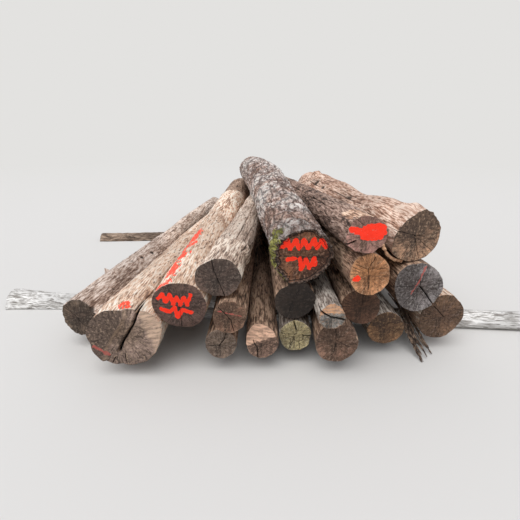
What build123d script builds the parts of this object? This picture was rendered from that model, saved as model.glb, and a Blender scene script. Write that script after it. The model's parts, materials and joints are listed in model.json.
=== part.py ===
from build123d import *
import os
from dataclasses import dataclass, field
from math import cos, pi, radians, sin, tan

import numpy as np

# A heap of felled logs: nineteen crooked, tapering trunks lying front to back
# on two split-pole bearers, with the bark that has come loose among them.
# Millimetres. X runs across the front of the heap, Y from the sawn front ends
# to the rear, Z up from the ground. Every log is placed by its sawn front end
# and then let down until it rests, so a changed size moves all that lies on it.

# Bearers: half-round split poles, flat side on the ground
BEARER_LENGTH = 5000
FRONT_BEARER_RISE = 116        # height of the half-round at its left end
FRONT_BEARER_TIP_RISE = 100    # the same at its right end
FRONT_BEARER_HALF_WIDTH = 118
FRONT_BEARER_SETBACK = 1120    # from the front line of the heap, at mid length
FRONT_BEARER_TURN = -4.6       # degrees, right end nearer the front
FRONT_BEARER_FLARE = 38        # how much the left butt swells
REAR_BEARER_RISE = 108
REAR_BEARER_TIP_RISE = 100
REAR_BEARER_HALF_WIDTH = 125
REAR_BEARER_SETBACK = 3750
REAR_BEARER_TURN = 2.0
BEARER_CROOK = 22              # sideways wander of a bearer over its length

# A thin round pole lies on the ground against the front bearer
POLE_LENGTH = 4300
POLE_BUTT = 88
POLE_TIP = 52
POLE_RIGHT = 2420              # its butt, right of the middle of the bearer
POLE_CROOK = 8                 # sideways wander

# Seats
SEAT = 0.45                    # upright clearance left under a resting log
LEAN = 0.4                     # clearance left where a piece leans on another
ROLL_REACH = 16                # how far a log may roll sideways to settle
TURN_REACH = 1.5               # degrees that it may turn as it settles
GRIP = 0.15                    # a log rolls only down slopes steeper than this

# Curved slab of bark that peels away under the left side of the crooked top log
SLAB_THICKNESS = 23
SLAB_LENGTH = 640
SLAB_START = 45                # behind the log's sawn end
SLAB_FROM = 188                # degrees round the log, from its right side upwards
SLAB_TO = 244
SLAB_PEEL = 48                 # how far its free edge stands off the log

# Strips of bark that lean on the far right log, foot on the ground
STRIP_THICKNESS = 9
STRIP_CURL = 7                 # how far a strip is dished across its width


@dataclass
class Strip:
    """A strip of bark from its foot on the ground, x and y, to its upper end."""
    name: str
    leans_on: str
    side: int                  # +1 where it slides to the right to lean, -1 to the left
    foot: tuple
    head: tuple
    width: float
    head_width: float
    twist: float               # degrees that the width turns from foot to head


STRIPS = [
    Strip("long_bark_strip", "far_right_log", 1, foot=(1320, 330), head=(1150, 800, 330),
          width=52, head_width=70, twist=25),
    Strip("short_bark_strip", "grey_floor_log", -1, foot=(1290, 270), head=(1120, 700, 300),
          width=40, head_width=50, twist=-15),
]


@dataclass
class Log:
    """One log. Directions are degrees round it, from its right side upwards."""
    name: str
    butt: float                # mean diameter at the sawn front end
    tip: float                 # mean diameter at the rear end
    length: float
    x: float                   # where the front end is aimed, across the heap
    setback: float             # front end behind the front line of the heap
    yaw: float                 # degrees, plus turns to the right going back
    sweep: float = 0           # sideways bow, plus to the right
    arch: float = 0            # upward bow
    crook: float = 0           # second bend, to the right and then to the left
    flare: float = 0           # swelling of the butt, added to its radius
    lobes: tuple = ()          # (how many, height as a share of the radius, direction)
    flange: tuple = ()         # root flange at the butt: (direction, height, spread in degrees)
    bark: float = 0            # thickness of the bark that covers the front part
    bark_end: float = 0        # where that bark breaks off
    rind: float = 0            # thickness of the bark ring that shows round the sawn face
    rind_depth: float = 0      # how far the ring stands proud of the face
    cracks: tuple = ()         # (points right and up as shares of the radius, width, depth)
    step: tuple = ()           # (points, depth): part of the face that was sawn deeper
    bevels: tuple = ()         # (direction, share of the radius where it starts, depth at the rim)
    stubs: tuple = ()          # (distance from the front, direction, radius, height)
    burls: tuple = ()          # (distance from the front, direction, radius, height)
    torn: tuple = ()           # slanted breaks of the rear end: (direction, start, depth)
    pose: dict = field(default_factory=dict)


FLARE_REACH = 320              # a butt's swelling dies away over this length
LOBE_TWIST = 0.35              # radians that the section turns from butt to tip
STUB_TAPER = 0.72              # outer end of a branch stub against its root
STRIP_REACH = 200              # how far a strip may slide before it leans

# The logs, in the order in which they were laid
LOGS = [
    Log("big_left_log", butt=482, tip=340, length=4400, x=-954, setback=66, yaw=4.6,
        sweep=-35, flare=12, flange=(235, 16, 30),
        lobes=((2, .035, 20), (3, .03, 80), (6, .018, 10)),
        step=(((.12, 1.3), (.08, .52), (-.21, .09), (-.53, -.39), (-.75, -1.3),
               (1.4, -1.3), (1.4, 1.3)), 24),
        cracks=((((-.19, -.57), (-.04, -.25), (.31, .28), (.6, 1.0)), 26, 130),)),
    Log("far_left_log", butt=300, tip=258, length=5200, x=-1436, setback=473, yaw=5.6,
        sweep=-25, crook=15, bark=13, bark_end=2150, lobes=((2, .03, 70), (5, .02, 0), (6, .015, 30)),
        stubs=((620, 78, 40, 42),), bevels=((200, .5, 26),)),
    Log("left_floor_log", butt=230, tip=262, length=4300, x=-284, setback=150, yaw=0.3,
        sweep=10, lobes=((2, .03, 90), (3, .02, 30)),
        cracks=((((-.1, -.15), (.25, .35), (.42, 1.0)), 10, 60),)),
    Log("notched_floor_log", butt=238, tip=262, length=4200, x=14, setback=160, yaw=0.5,
        sweep=-15, lobes=((2, .04, 90), (3, .02, 0)), bevels=((112, .12, 62),),
        cracks=((((-.55, .1), (-.3, -.35), (-.25, -1.1)), 9, 70),)),
    Log("ring_shake_log", butt=244, tip=262, length=4300, x=260, setback=260, yaw=1.2,
        sweep=15, lobes=((2, .03, 90), (5, .015, 20)),
        cracks=((((.06, .41), (-.11, 1.15)), 12, 80), (((.5, 0), (1.15, .02)), 16, 60))),
    Log("brown_floor_log", butt=312, tip=270, length=4200, x=544, setback=113, yaw=1.2,
        sweep=20, lobes=((2, .03, 90), (3, .02, 100)), bevels=((-30, .7, 14),)),
    Log("grey_floor_log", butt=274, tip=250, length=4500, x=968, setback=369, yaw=-0.6,
        sweep=-20, lobes=((2, .04, 20), (3, .02, 200))),
    Log("far_right_log", butt=364, tip=270, length=4600, x=1426, setback=456, yaw=-3.1,
        sweep=35, lobes=((2, .05, 60), (3, .025, 10), (5, .015, 0))),
    Log("left_middle_log", butt=235, tip=270, length=4300, x=-212, setback=105, yaw=2.0,
        sweep=10, lobes=((2, .04, 80), (3, .02, 0)),
        cracks=((((.25, -.6), (.08, -.2), (-.3, .3), (-.8, .8)), 9, 60),)),
    Log("left_cradled_log", butt=369, tip=360, length=4300, x=-572, setback=150, yaw=4.4,
        sweep=-20, arch=10, lobes=((2, .05, 170), (3, .03, 60)), bevels=((-70, .75, 14),)),
    Log("split_grey_log", butt=174, tip=150, length=4000, x=494, setback=20, yaw=0.3,
        sweep=8, lobes=((2, .04, 10), (3, .03, 90)), bevels=((95, .3, 40),),
        cracks=((((-.5, .25), (-.1, .04), (.5, -.1), (1.15, -.2)), 16, 240),)),
    Log("dark_middle_log", butt=286, tip=280, length=4400, x=266, setback=250, yaw=0.0,
        sweep=-10, lobes=((2, .03, 45), (5, .015, 10))),
    Log("brown_ring_log", butt=270, tip=280, length=4300, x=708, setback=222, yaw=0.0,
        sweep=12, lobes=((2, .03, 140), (3, .02, 40))),
    Log("dark_right_log", butt=376, tip=300, length=4400, x=1175, setback=385, yaw=-2.5,
        sweep=-20, lobes=((2, .05, 110), (3, .03, 10), (5, .012, 0)),
        cracks=((((.06, .03), (.3, -.25), (.75, -.85)), 16, 90),)),
    Log("bulged_log", butt=291, tip=290, length=4300, x=-292, setback=152, yaw=5.0,
        sweep=10, lobes=((2, .06, 20), (3, .02, 50)), burls=((430, 28, 120, 34),),
        cracks=((((.1, -.5), (-.17, .28), (-.33, 1.15)), 9, 90),)),
    Log("orange_log", butt=276, tip=270, length=4300, x=728, setback=50, yaw=-1.0,
        sweep=-14, lobes=((2, .03, 100), (3, .02, 0))),
    Log("crooked_top_log", butt=330, tip=330, length=3400, x=1118, setback=426, yaw=-8.0,
        sweep=-60, crook=45, arch=35, flare=10, flange=(72, 26, 28),
        lobes=((2, .05, 50), (3, .03, 70), (5, .015, 0)),
        stubs=((2450, 100, 62, 40),), torn=((60, -.4, 150), (200, -.2, 110))),
    Log("scribbled_log", butt=246, tip=250, length=4200, x=677, setback=20, yaw=-4.0,
        sweep=18, lobes=((2, .04, 0), (3, .02, 120)),
        cracks=((((-.6, -.3), (-1.15, -.55)), 14, 110),)),
    Log("barked_top_log", butt=378, tip=420, length=4100, x=318, setback=235, yaw=-5.5,
        sweep=-20, arch=135, flare=8, lobes=((2, .03, 30), (3, .02, 10), (5, .012, 0)),
        rind=19, rind_depth=14),
]

# Fineness of the section curves and of the maps that settle the logs
SECTION_POINTS = 32
SECTION_STEP = 620             # between a log's sections
RIM_STEP = 130                 # between the sections of a flaring butt
END_MARGIN = 5                 # how far a cut starts outside the sawn end
MAP_ROW = 10
MAP_COLUMN = 4
MAP_LEFT, MAP_RIGHT = -2700, 2800
MAP_FRONT, MAP_REAR = -300, 6600
HALF_ROUND = 48                # directions in half a turn of the map's sections
ROUND = np.linspace(0, 2 * pi, 2 * HALF_ROUND + 1)
SOLVE_ROUNDS = 4               # repeats that find where a tilted log crosses a row
SETTLE_STEPS = (8, 2, 0.5)     # sideways steps of a settling log, coarse to fine
SHIFT_PER_DEGREE = 16          # a degree of turn is tried with this much shift
HALVINGS = 24                  # how finely a leaning piece is pushed home
LEAN_SAMPLES = 40              # points along a leaning piece between its sections
rows = np.arange(MAP_FRONT, MAP_REAR, MAP_ROW, dtype=float)
columns = np.arange(MAP_LEFT, MAP_RIGHT, MAP_COLUMN, dtype=float)


def middle_line(log, share):
    """Sideways and upward bow of a log at a share of its length."""
    x = log.sweep * np.sin(pi * share) + log.crook * np.sin(2 * pi * share)
    return x, log.arch * np.sin(pi * share)


def log_surface(log, y, way):
    """Points (x, z) of a log's skin at distances y from its butt, directions way."""
    share = np.clip(y / log.length, -.02, 1.02)
    radius = (log.butt + (log.tip - log.butt) * share) / 2
    swell = np.exp(-np.maximum(y, -RIM_STEP) / FLARE_REACH)
    radius = radius + log.flare * swell - np.where(y > log.bark_end, log.bark, 0)
    shape = 1 + 0 * way
    for count, height, direction in log.lobes:
        turn = way - radians(direction) - LOBE_TWIST * share
        shape = shape + height * np.cos(count * turn)
    skin = radius * shape
    if log.flange:
        direction, height, spread = log.flange
        around = np.angle(np.exp(1j * (way - radians(direction)))) / radians(spread)
        skin = skin + height * swell * np.exp(-around ** 2)
    x, z = middle_line(log, share)
    return x + skin * np.cos(way), z + skin * np.sin(way)


def rows_of_log(log, pose):
    """The skin of a placed log where it crosses each row of the map."""
    yaw, tilt = radians(pose["yaw"]), pose["tilt"]
    level = (rows[:, None] - pose["y"]) + 0 * ROUND
    y = level / cos(yaw)
    for _ in range(SOLVE_ROUNDS):
        x, z = log_surface(log, y, ROUND)
        y = ((level + x * sin(yaw)) / cos(yaw) + z * sin(tilt)) / cos(tilt)
    x, z = log_surface(log, y, ROUND)
    depth = y * cos(tilt) - z * sin(tilt)
    across = pose["x"] + x * cos(yaw) + depth * sin(yaw)
    height = pose["z"] + y * sin(tilt) + z * cos(tilt)
    beyond = np.maximum(-y, y - log.length) - MAP_ROW / 2
    return across, height, beyond


def envelope(across, height, beyond, side):
    """Height of the under side (-1) or the upper side (+1) over the columns."""
    out = np.full((len(rows), len(columns)), -side * np.inf)
    half = slice(HALF_ROUND, None, -1) if side > 0 else slice(HALF_ROUND, None)
    for row in np.nonzero((beyond < 0).any(axis=1))[0]:
        x = np.maximum.accumulate(across[row, half])
        first, last = np.searchsorted(columns, (x[0], x[-1]))
        span = columns[first:last]
        out[row, first:last] = np.interp(span, x, height[row, half])
        if beyond[row].max() > 0:
            past_end = np.interp(span, x, beyond[row, half]) > 0
            out[row, first:last][past_end] = -side * np.inf
    return out


def balance_point(log):
    """Distance of a log's centre of weight from its butt."""
    y = np.linspace(0, log.length, 40)
    weight = (log.butt + (log.tip - log.butt) * y / log.length) ** 2
    return float((y * weight).sum() / weight.sum())


def rest_on(ground, under, first, last, butt, middle, shift, turn):
    """Lowest resting height at the balance point, and the slope, of a shifted log."""
    offset = (shift + (rows[:, None] - butt) * tan(radians(turn))) / MAP_COLUMN
    place = np.arange(first, last)[None, :] + offset
    left = np.floor(place).astype(int)
    part = place - left
    at = np.arange(len(rows))[:, None]
    below = ground[at, left] * (1 - part) + ground[at, left + 1] * part
    lift = (below - under).max(axis=1)
    front = (rows < middle - MAP_ROW) & np.isfinite(lift)
    rear = (rows > middle + MAP_ROW) & np.isfinite(lift)
    y_front, y_rear = rows[front][:, None], rows[rear][None, :]
    h_front, h_rear = lift[front][:, None], lift[rear][None, :]
    value = (h_front * (y_rear - middle) + h_rear * (middle - y_front)) / (y_rear - y_front)
    i, j = np.unravel_index(np.argmax(value), value.shape)
    slope = (h_rear[0, j] - h_front[i, 0]) / (y_rear[0, j] - y_front[i, 0])
    return value[i, j], slope


def under_side(log, pose):
    """The under side of a placed log over the columns that it covers."""
    under = envelope(*rows_of_log(log, pose), -1)
    used = np.nonzero(np.isfinite(under).any(axis=0))[0]
    first, last = used[0], used[-1] + 1
    return under[:, first:last], first, last


def lay_down(pose, middle, lowest, slope):
    """Tilt a log and let it down until its middle has the lowest resting height."""
    pose["tilt"] += slope
    pose["z"] += lowest - slope * (middle - pose["y"])


def settle(log, ground):
    """Let a log down until it rests, rolling it sideways to its lowest place."""
    pose = {"x": log.x, "y": log.setback, "z": 0, "yaw": log.yaw, "tilt": 0}
    middle = log.setback + balance_point(log) * cos(radians(log.yaw))
    for step in SETTLE_STEPS:
        place = (*under_side(log, pose), log.setback, middle)
        shift, turn = 0, 0
        turn_step = step / SHIFT_PER_DEGREE
        lowest, slope = rest_on(ground, *place, shift, turn)
        moved = True
        while moved:
            moved = False
            for d_shift, d_turn in ((step, 0), (-step, 0), (0, turn_step), (0, -turn_step)):
                far = abs(pose["x"] + shift + d_shift - log.x) > ROLL_REACH
                turned = abs(pose["yaw"] + turn + d_turn - log.yaw) > TURN_REACH
                if far or turned:
                    continue
                trial = rest_on(ground, *place, shift + d_shift, turn + d_turn)
                if trial[0] < lowest - GRIP * step:
                    lowest, slope = trial
                    shift, turn = shift + d_shift, turn + d_turn
                    moved = True
                    break
        pose["x"] += shift
        pose["yaw"] += turn
        lay_down(pose, middle, lowest, slope)
    for _ in SETTLE_STEPS[1:]:
        lay_down(pose, middle, *rest_on(ground, *under_side(log, pose), log.setback, middle, 0, 0))
    pose["z"] += SEAT
    log.pose = pose
    return np.maximum(ground, envelope(*rows_of_log(log, pose), 1))


def ring(points):
    """A closed smooth wire through points."""
    return Wire([Edge.make_spline([Vector(*point) for point in points], periodic=True)])


def loft_log(log, stations, barked=True, inset=0):
    """A loft through level rings at the given distances from the butt, inset from the skin."""
    way = np.linspace(0, 2 * pi, SECTION_POINTS, endpoint=False)
    rings = []
    for y in stations:
        x, z = log_surface(log, y + 0 * way, way)
        deep = inset + (log.bark if not barked and y <= log.bark_end else 0)
        rings.append(ring([(a - deep * cos(t), y, b - deep * sin(t)) for a, b, t in zip(x, z, way)]))
    return Solid.make_loft(rings)


def even_stations(first, last):
    """Distances of evenly spaced sections from first to last, first left out."""
    steps = max(2, round((last - first) / SECTION_STEP))
    return [first + (last - first) * k / steps for k in range(1, steps + 1)]


def on_end(log, right, up, y=0):
    """A point of the sawn end, given in shares of its mean radius."""
    return Vector(right * log.butt / 2, y, up * log.butt / 2)


def prism(points, depth):
    """A prism from a closed outline before the sawn end to a depth behind it."""
    outline = Wire.make_polygon([point - Vector(0, END_MARGIN, 0) for point in points], close=True)
    return Solid.extrude(Face(outline), Vector(0, depth + END_MARGIN, 0))


def crack_solid(log, path, width, depth):
    """A drying crack: a sliver that is closed at its inner end and widens to the rim."""
    middle = [on_end(log, right, up) for right, up in path]
    one_side, other_side = [], []
    for k, point in enumerate(middle[1:], 1):
        run = (point - middle[k - 1]).normalized()
        offset = Vector(-run.Z, 0, run.X) * (width / 2 * k / (len(middle) - 1))
        one_side.append(point + offset)
        other_side.append(point - offset)
    return prism([middle[0], *one_side, *other_side[::-1]], depth)


def slanted_cut(log, direction, start, depth, rear=False):
    """All that lies beyond a plane that starts on the end and runs back to the rim."""
    radius = (log.tip if rear else log.butt) / 2
    outward = Vector(cos(radians(direction)), 0, sin(radians(direction)))
    away = Vector(0, 1 if rear else -1, 0)
    y = log.length if rear else 0
    rise = radius * (1 - start)
    normal = (away * rise + outward * depth).normalized()
    plane = Plane(origin=Vector(0, y, 0) + outward * (start * radius), z_dir=normal)
    size = 4 * radius + depth
    block = Solid.make_box(2 * size, 2 * size, size)
    return block.moved(Location((-size, -size, 0))).moved(plane.location)


def limb(log, distance, direction, radius, height):
    """A branch stub: a cone rooted in the log that ends a height above its skin."""
    x, z = log_surface(log, np.array(float(distance)), np.array(radians(direction)))
    outward = Vector(cos(radians(direction)), 0, sin(radians(direction)))
    root = Vector(float(x), distance, float(z)) - outward * (2 * radius)
    long = 2 * radius + height
    cone = Solid.make_cone(radius / STUB_TAPER, radius * STUB_TAPER, long)
    return cone.moved(Plane(origin=root, z_dir=outward).location)


def burl(log, distance, direction, radius, height):
    """A round swelling: a ball sunk so that it rises a height above the skin."""
    x, z = log_surface(log, np.array(float(distance)), np.array(radians(direction)))
    outward = Vector(cos(radians(direction)), 0, sin(radians(direction)))
    middle = Vector(float(x), distance, float(z)) - outward * (radius - height)
    return Solid.make_sphere(radius).moved(Location(middle))


def log_solid(log):
    """A log with its bark, stubs, cracks and saw cuts, moved to where it rests."""
    rims = [0, RIM_STEP, 3 * RIM_STEP]
    whole = loft_log(log, rims + even_stations(rims[-1], log.length), barked=not log.bark)
    if log.bark:
        whole = whole.fuse(loft_log(log, rims + even_stations(rims[-1], log.bark_end)))
    for stub in log.stubs:
        whole = whole.fuse(limb(log, *stub))
    for swelling in log.burls:
        whole = whole.fuse(burl(log, *swelling))
    cuts = [crack_solid(log, *crack) for crack in log.cracks]
    cuts += [slanted_cut(log, *bevel) for bevel in log.bevels]
    cuts += [slanted_cut(log, *split_off, rear=True) for split_off in log.torn]
    if log.step:
        outline, depth = log.step
        cuts.append(prism([on_end(log, right, up) for right, up in outline], depth))
    if log.rind:
        cuts.append(loft_log(log, [-END_MARGIN, log.rind_depth], inset=log.rind))
    for cut in cuts:
        whole = whole.cut(cut)
    solid = max(whole.solids(), key=lambda part: part.volume)
    return solid.moved(place_of(log).location)


def bearer_sizes(share, rise, tip_rise, half_width, flare):
    """Height and half width of a bearer at a share of its length."""
    swell = flare * np.exp(-share * BEARER_LENGTH / FLARE_REACH)
    high = rise + (tip_rise - rise) * share + swell
    return high, half_width * high / rise


def bearer_wander(share):
    """Sideways place of a bearer's middle line."""
    return BEARER_CROOK * np.sin(2 * pi * share)


def bearer_map(setback, turn, *sizes):
    """Top of a bearer over the map."""
    turn = radians(turn)
    x, y = columns[None, :], rows[:, None] - setback
    share = (x * cos(turn) + y * sin(turn)) / BEARER_LENGTH + .5
    side = y * cos(turn) - x * sin(turn)
    high, wide = bearer_sizes(share, *sizes)
    room = 1 - ((side - bearer_wander(share)) / wide) ** 2
    on = (share > 0) & (share < 1) & (room > 0)
    return np.where(on, high * np.sqrt(np.maximum(room, 0)), 0)


BEARER_STATIONS = (0, .02, .05, .09, .15, .23, .32, .41, .5, .6, .7, .8, .9, 1)


def bearer_solid(setback, turn, *sizes):
    """A half-round pole along X, lofted as a full round and split at the ground."""
    rings = []
    for share in BEARER_STATIONS:
        high, wide = bearer_sizes(share, *sizes)
        x, y = BEARER_LENGTH * (share - .5), bearer_wander(share)
        way = np.linspace(0, 2 * pi, SECTION_POINTS, endpoint=False)
        rings.append(ring([(x, y + wide * cos(a), high * sin(a)) for a in way]))
    whole = Solid.make_loft(rings)
    half = split(whole, bisect_by=Plane.XY, keep=Keep.TOP)
    return half.solids()[0].rotate(Axis.Z, turn).translate((0, setback, 0))


def pole_middle(share):
    """Radius and sideways wander of the thin pole."""
    return (POLE_BUTT + (POLE_TIP - POLE_BUTT) * share) / 2, POLE_CROOK * np.sin(3 * pi * share)


def pole_solid():
    """The thin round pole, flat on the ground and pushed back against the bearer."""
    shares = np.linspace(0, 1, 60)
    radius, wander = pole_middle(shares)
    along = POLE_RIGHT - shares * POLE_LENGTH
    high, wide = bearer_sizes(along / BEARER_LENGTH + .5, *front_sizes)
    edge = bearer_wander(along / BEARER_LENGTH + .5)
    level = np.linspace(0, 1.98, 80)[:, None] * radius
    pole_back = wander + np.sqrt(radius ** 2 - (level - radius) ** 2)
    bearer_face = edge - wide * np.sqrt(np.maximum(1 - (level / high) ** 2, 0))
    side = float((bearer_face - pole_back).min()) - LEAN
    rings = []
    for share in np.linspace(0, 1, 8):
        radius, wander = pole_middle(share)
        x = POLE_RIGHT - share * POLE_LENGTH
        rings.append(ring([(x, wander + side + radius * cos(a), radius + radius * sin(a))
                           for a in np.linspace(0, 2 * pi, 12, endpoint=False)]))
    pole = Solid.make_loft(rings)
    return pole.rotate(Axis.Z, FRONT_BEARER_TURN).translate((0, FRONT_BEARER_SETBACK, 0))


def place_of(log):
    """Plane of a resting log: X to its right, Y along it from the butt."""
    yaw, tilt = radians(log.pose["yaw"]), log.pose["tilt"]
    along = Vector(sin(yaw) * cos(tilt), cos(yaw) * cos(tilt), sin(tilt))
    right = Vector(cos(yaw), -sin(yaw), 0)
    middle = (log.pose["x"], log.pose["y"], log.pose["z"])
    return Plane(origin=middle, x_dir=right, z_dir=right.cross(along))


def clearance(log, points):
    """How far points stand off the skin of a resting log."""
    place = place_of(log)
    local = [place.to_local_coords(Vector(*point)) for point in points]
    x, y, z = (np.array([getattr(point, axis) for point in local]) for axis in "XYZ")
    x_middle, z_middle = middle_line(log, y / log.length)
    way = np.arctan2(z - z_middle, x - x_middle)
    skin_x, skin_z = log_surface(log, y, way)
    skin = np.hypot(skin_x - x_middle, skin_z - z_middle)
    gap = np.hypot(x - x_middle, z - z_middle) - skin
    return np.where((y > 0) & (y < log.length), gap, 1e3)


def slab_solid(log):
    """The peeling slab: a dished shell that follows the log and leaves it at one edge."""
    rings = []
    for y in np.linspace(SLAB_START, SLAB_START + SLAB_LENGTH, 4):
        out, back = [], []
        for degrees in np.linspace(SLAB_FROM, SLAB_TO, 7):
            way = radians(degrees)
            x, z = log_surface(log, np.array(y), np.array(way))
            peel = SLAB_PEEL * ((SLAB_TO - degrees) / (SLAB_TO - SLAB_FROM)) ** 1.6
            near, far = peel + LEAN, peel + LEAN + SLAB_THICKNESS
            back.append(Vector(float(x) + near * cos(way), y, float(z) + near * sin(way)))
            out.append(Vector(float(x) + far * cos(way), y, float(z) + far * sin(way)))
        sides = [Edge.make_spline(back), Edge.make_line(back[-1], out[-1]),
                 Edge.make_spline(out[::-1]), Edge.make_line(out[0], back[0])]
        rings.append(Wire(sides))
    return Solid.make_loft(rings).moved(place_of(log).location)


def strip_points(strip, shift):
    """Corners of a strip's cross sections, from its foot to its head."""
    foot = Vector(strip.foot[0], strip.foot[1], 0)
    head = Vector(*strip.head)
    along = (head - foot).normalized()
    flat = along.cross(Vector(0, 0, 1)).normalized()
    sections = []
    for share in (0, .35, .7, 1):
        middle = foot + (head - foot) * share + Vector(shift, 0, 0)
        across = flat.rotate(Axis((0, 0, 0), tuple(along)), strip.twist * share)
        normal = along.cross(across)
        half = (strip.width + (strip.head_width - strip.width) * share) / 2
        face = []
        for side, dish in ((-1, 0), (0, STRIP_CURL), (1, 0)):
            face.append(middle + across * (side * half) + normal * dish)
        face += [point + normal * STRIP_THICKNESS for point in face[::-1]]
        sections.append(face)
    lowest = min(point.Z for face in sections for point in face)
    return [[point - Vector(0, 0, lowest) for point in face] for face in sections]


def lean(points_at, log, side):
    """Sideways shift at which a piece comes to rest against a log."""
    near, far = -side * STRIP_REACH / 4, side * STRIP_REACH
    for _ in range(HALVINGS):
        shift = (near + far) / 2
        sections = points_at(shift)
        dense = []
        for first, second in zip(sections[:-1], sections[1:]):
            for share in np.linspace(0, 1, LEAN_SAMPLES):
                ends = [a + (b - a) * share for a, b in zip(first, second)]
                for a, b in zip(ends, ends[1:] + ends[:1]):
                    dense += [a, (a + b) / 2]
        if clearance(log, [tuple(point) for point in dense]).min() > LEAN:
            near = shift
        else:
            far = shift
    return near


def strip_solid(strip, log):
    """A leaning strip of bark as a loft of flat-sided sections."""
    shift = lean(lambda move: strip_points(strip, move), log, strip.side)
    rings = [Wire.make_polygon(face, close=True) for face in strip_points(strip, shift)]
    return Solid.make_loft(rings, ruled=True)


front_sizes = (FRONT_BEARER_RISE, FRONT_BEARER_TIP_RISE, FRONT_BEARER_HALF_WIDTH, FRONT_BEARER_FLARE)
rear_sizes = (REAR_BEARER_RISE, REAR_BEARER_TIP_RISE, REAR_BEARER_HALF_WIDTH, 0)
front_bearer = (FRONT_BEARER_SETBACK, FRONT_BEARER_TURN, *front_sizes)
rear_bearer = (REAR_BEARER_SETBACK, REAR_BEARER_TURN, *rear_sizes)


def lay_the_heap():
    """Settle every log in turn on what lies below it."""
    ground = np.maximum(bearer_map(*front_bearer), bearer_map(*rear_bearer))
    for log in LOGS:
        ground = settle(log, ground)


def build():
    """Every piece of the heap as name and solid."""
    lay_the_heap()
    by_name = {log.name: log for log in LOGS}
    pieces = {log.name: log_solid(log) for log in LOGS}
    pieces["front_bearer"] = bearer_solid(*front_bearer)
    pieces["rear_bearer"] = bearer_solid(*rear_bearer)
    pieces["thin_pole"] = pole_solid()
    pieces["bark_slab"] = slab_solid(by_name["crooked_top_log"])
    for strip in STRIPS:
        pieces[strip.name] = strip_solid(strip, by_name[strip.leans_on])
    return pieces


def main():
    pieces = build()
    boxes = [solid.bounding_box() for solid in pieces.values()]
    left, right = min(box.min.X for box in boxes), max(box.max.X for box in boxes)
    front, rear = min(box.min.Y for box in boxes), max(box.max.Y for box in boxes)
    home = (-(left + right) / 2, -(front + rear) / 2, 0)
    os.makedirs("parts", exist_ok=True)
    for name, solid in pieces.items():
        export_step(solid.translate(home), f"parts/{name}.step")


main()
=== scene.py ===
# %% [markdown]
# A heap of felled logs, laid with their sawn ends to the front. A real trunk is a
# tapering tube that bends and swells, cut across by a chain saw, with bare wood or
# bark outside. Each could be sculpted by hand, but nineteen logs share one recipe.
# The construction model holds each trunk's bow, taper and place, so the first step
# loads it, and all that follows dresses those trunks.

# %% Load the frame
import json
from dataclasses import dataclass
from math import cos, pi, radians, sin

import bpy
import numpy as np
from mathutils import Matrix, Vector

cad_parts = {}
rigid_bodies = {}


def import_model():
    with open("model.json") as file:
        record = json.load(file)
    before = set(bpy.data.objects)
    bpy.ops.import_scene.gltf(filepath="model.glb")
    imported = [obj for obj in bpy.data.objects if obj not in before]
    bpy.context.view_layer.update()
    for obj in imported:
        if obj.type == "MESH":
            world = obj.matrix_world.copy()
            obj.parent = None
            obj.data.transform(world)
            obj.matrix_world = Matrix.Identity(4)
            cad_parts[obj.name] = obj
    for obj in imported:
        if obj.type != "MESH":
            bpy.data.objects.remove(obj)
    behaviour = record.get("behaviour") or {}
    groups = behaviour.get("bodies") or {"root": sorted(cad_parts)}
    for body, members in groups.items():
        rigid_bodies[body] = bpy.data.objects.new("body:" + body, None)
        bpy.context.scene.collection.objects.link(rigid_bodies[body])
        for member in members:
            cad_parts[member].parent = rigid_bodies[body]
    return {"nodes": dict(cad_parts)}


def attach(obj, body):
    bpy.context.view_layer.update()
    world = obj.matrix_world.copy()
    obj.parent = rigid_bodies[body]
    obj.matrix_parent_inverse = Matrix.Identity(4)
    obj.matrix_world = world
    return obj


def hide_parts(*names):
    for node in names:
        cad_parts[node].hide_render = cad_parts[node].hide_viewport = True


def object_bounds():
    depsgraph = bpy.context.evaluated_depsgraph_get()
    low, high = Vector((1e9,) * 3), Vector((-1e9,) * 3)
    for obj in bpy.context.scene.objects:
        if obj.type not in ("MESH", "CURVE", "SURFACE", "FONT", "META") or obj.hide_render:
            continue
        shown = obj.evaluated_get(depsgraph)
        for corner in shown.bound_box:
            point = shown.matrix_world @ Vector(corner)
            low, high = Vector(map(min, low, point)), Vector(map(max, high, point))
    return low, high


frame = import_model()
cad_low, cad_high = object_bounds()
print("nodes in the frame:", len(frame["nodes"]))

# %% [markdown]
# Colours are picked as sRGB hex values, the way a paint chart gives them, and
# shaders work on linear light, so one function converts them. Nodes could be
# wired by hand in the editor; one small function that adds a node with its
# settings and links keeps every finish readable as a list.

# %% Colour and node helpers
MM = .001


def linear(code):
    """Linear RGBA of an sRGB hex colour: ((c + .055) / 1.055) ** 2.4, or c / 12.92 when dark."""
    parts = np.array([int(code[i:i + 2], 16) for i in (1, 3, 5)]) / 255
    parts = np.where(parts > .04045, ((parts + .055) / 1.055) ** 2.4, parts / 12.92)
    return (*parts.tolist(), 1)


def add(tree, kind, inputs=None, stops=None, **settings):
    """A shader node: settings are its fields, inputs its sockets, stops a ramp's colours."""
    node = tree.nodes.new("ShaderNode" + kind)
    for name, value in settings.items():
        setattr(node, name, value)
    for socket, value in (inputs or {}).items():
        if isinstance(value, bpy.types.NodeSocket):
            tree.links.new(value, node.inputs[socket])
        else:
            node.inputs[socket].default_value = value
    if stops:
        ramp = node.color_ramp
        while len(ramp.elements) < len(stops):
            ramp.elements.new(.5)
        for element, (place, colour) in zip(ramp.elements, stops):
            element.position = place
            element.color = linear(colour)
    return node


def new_material(name):
    """An empty material with its output, as (material, tree, output)."""
    material = bpy.data.materials.new(name)
    material.use_nodes = True
    tree = material.node_tree
    tree.nodes.clear()
    return material, tree, add(tree, "OutputMaterial")


print("warm brown in linear light:", [round(part, 3) for part in linear("#8a6a4c")[:3]])

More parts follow.
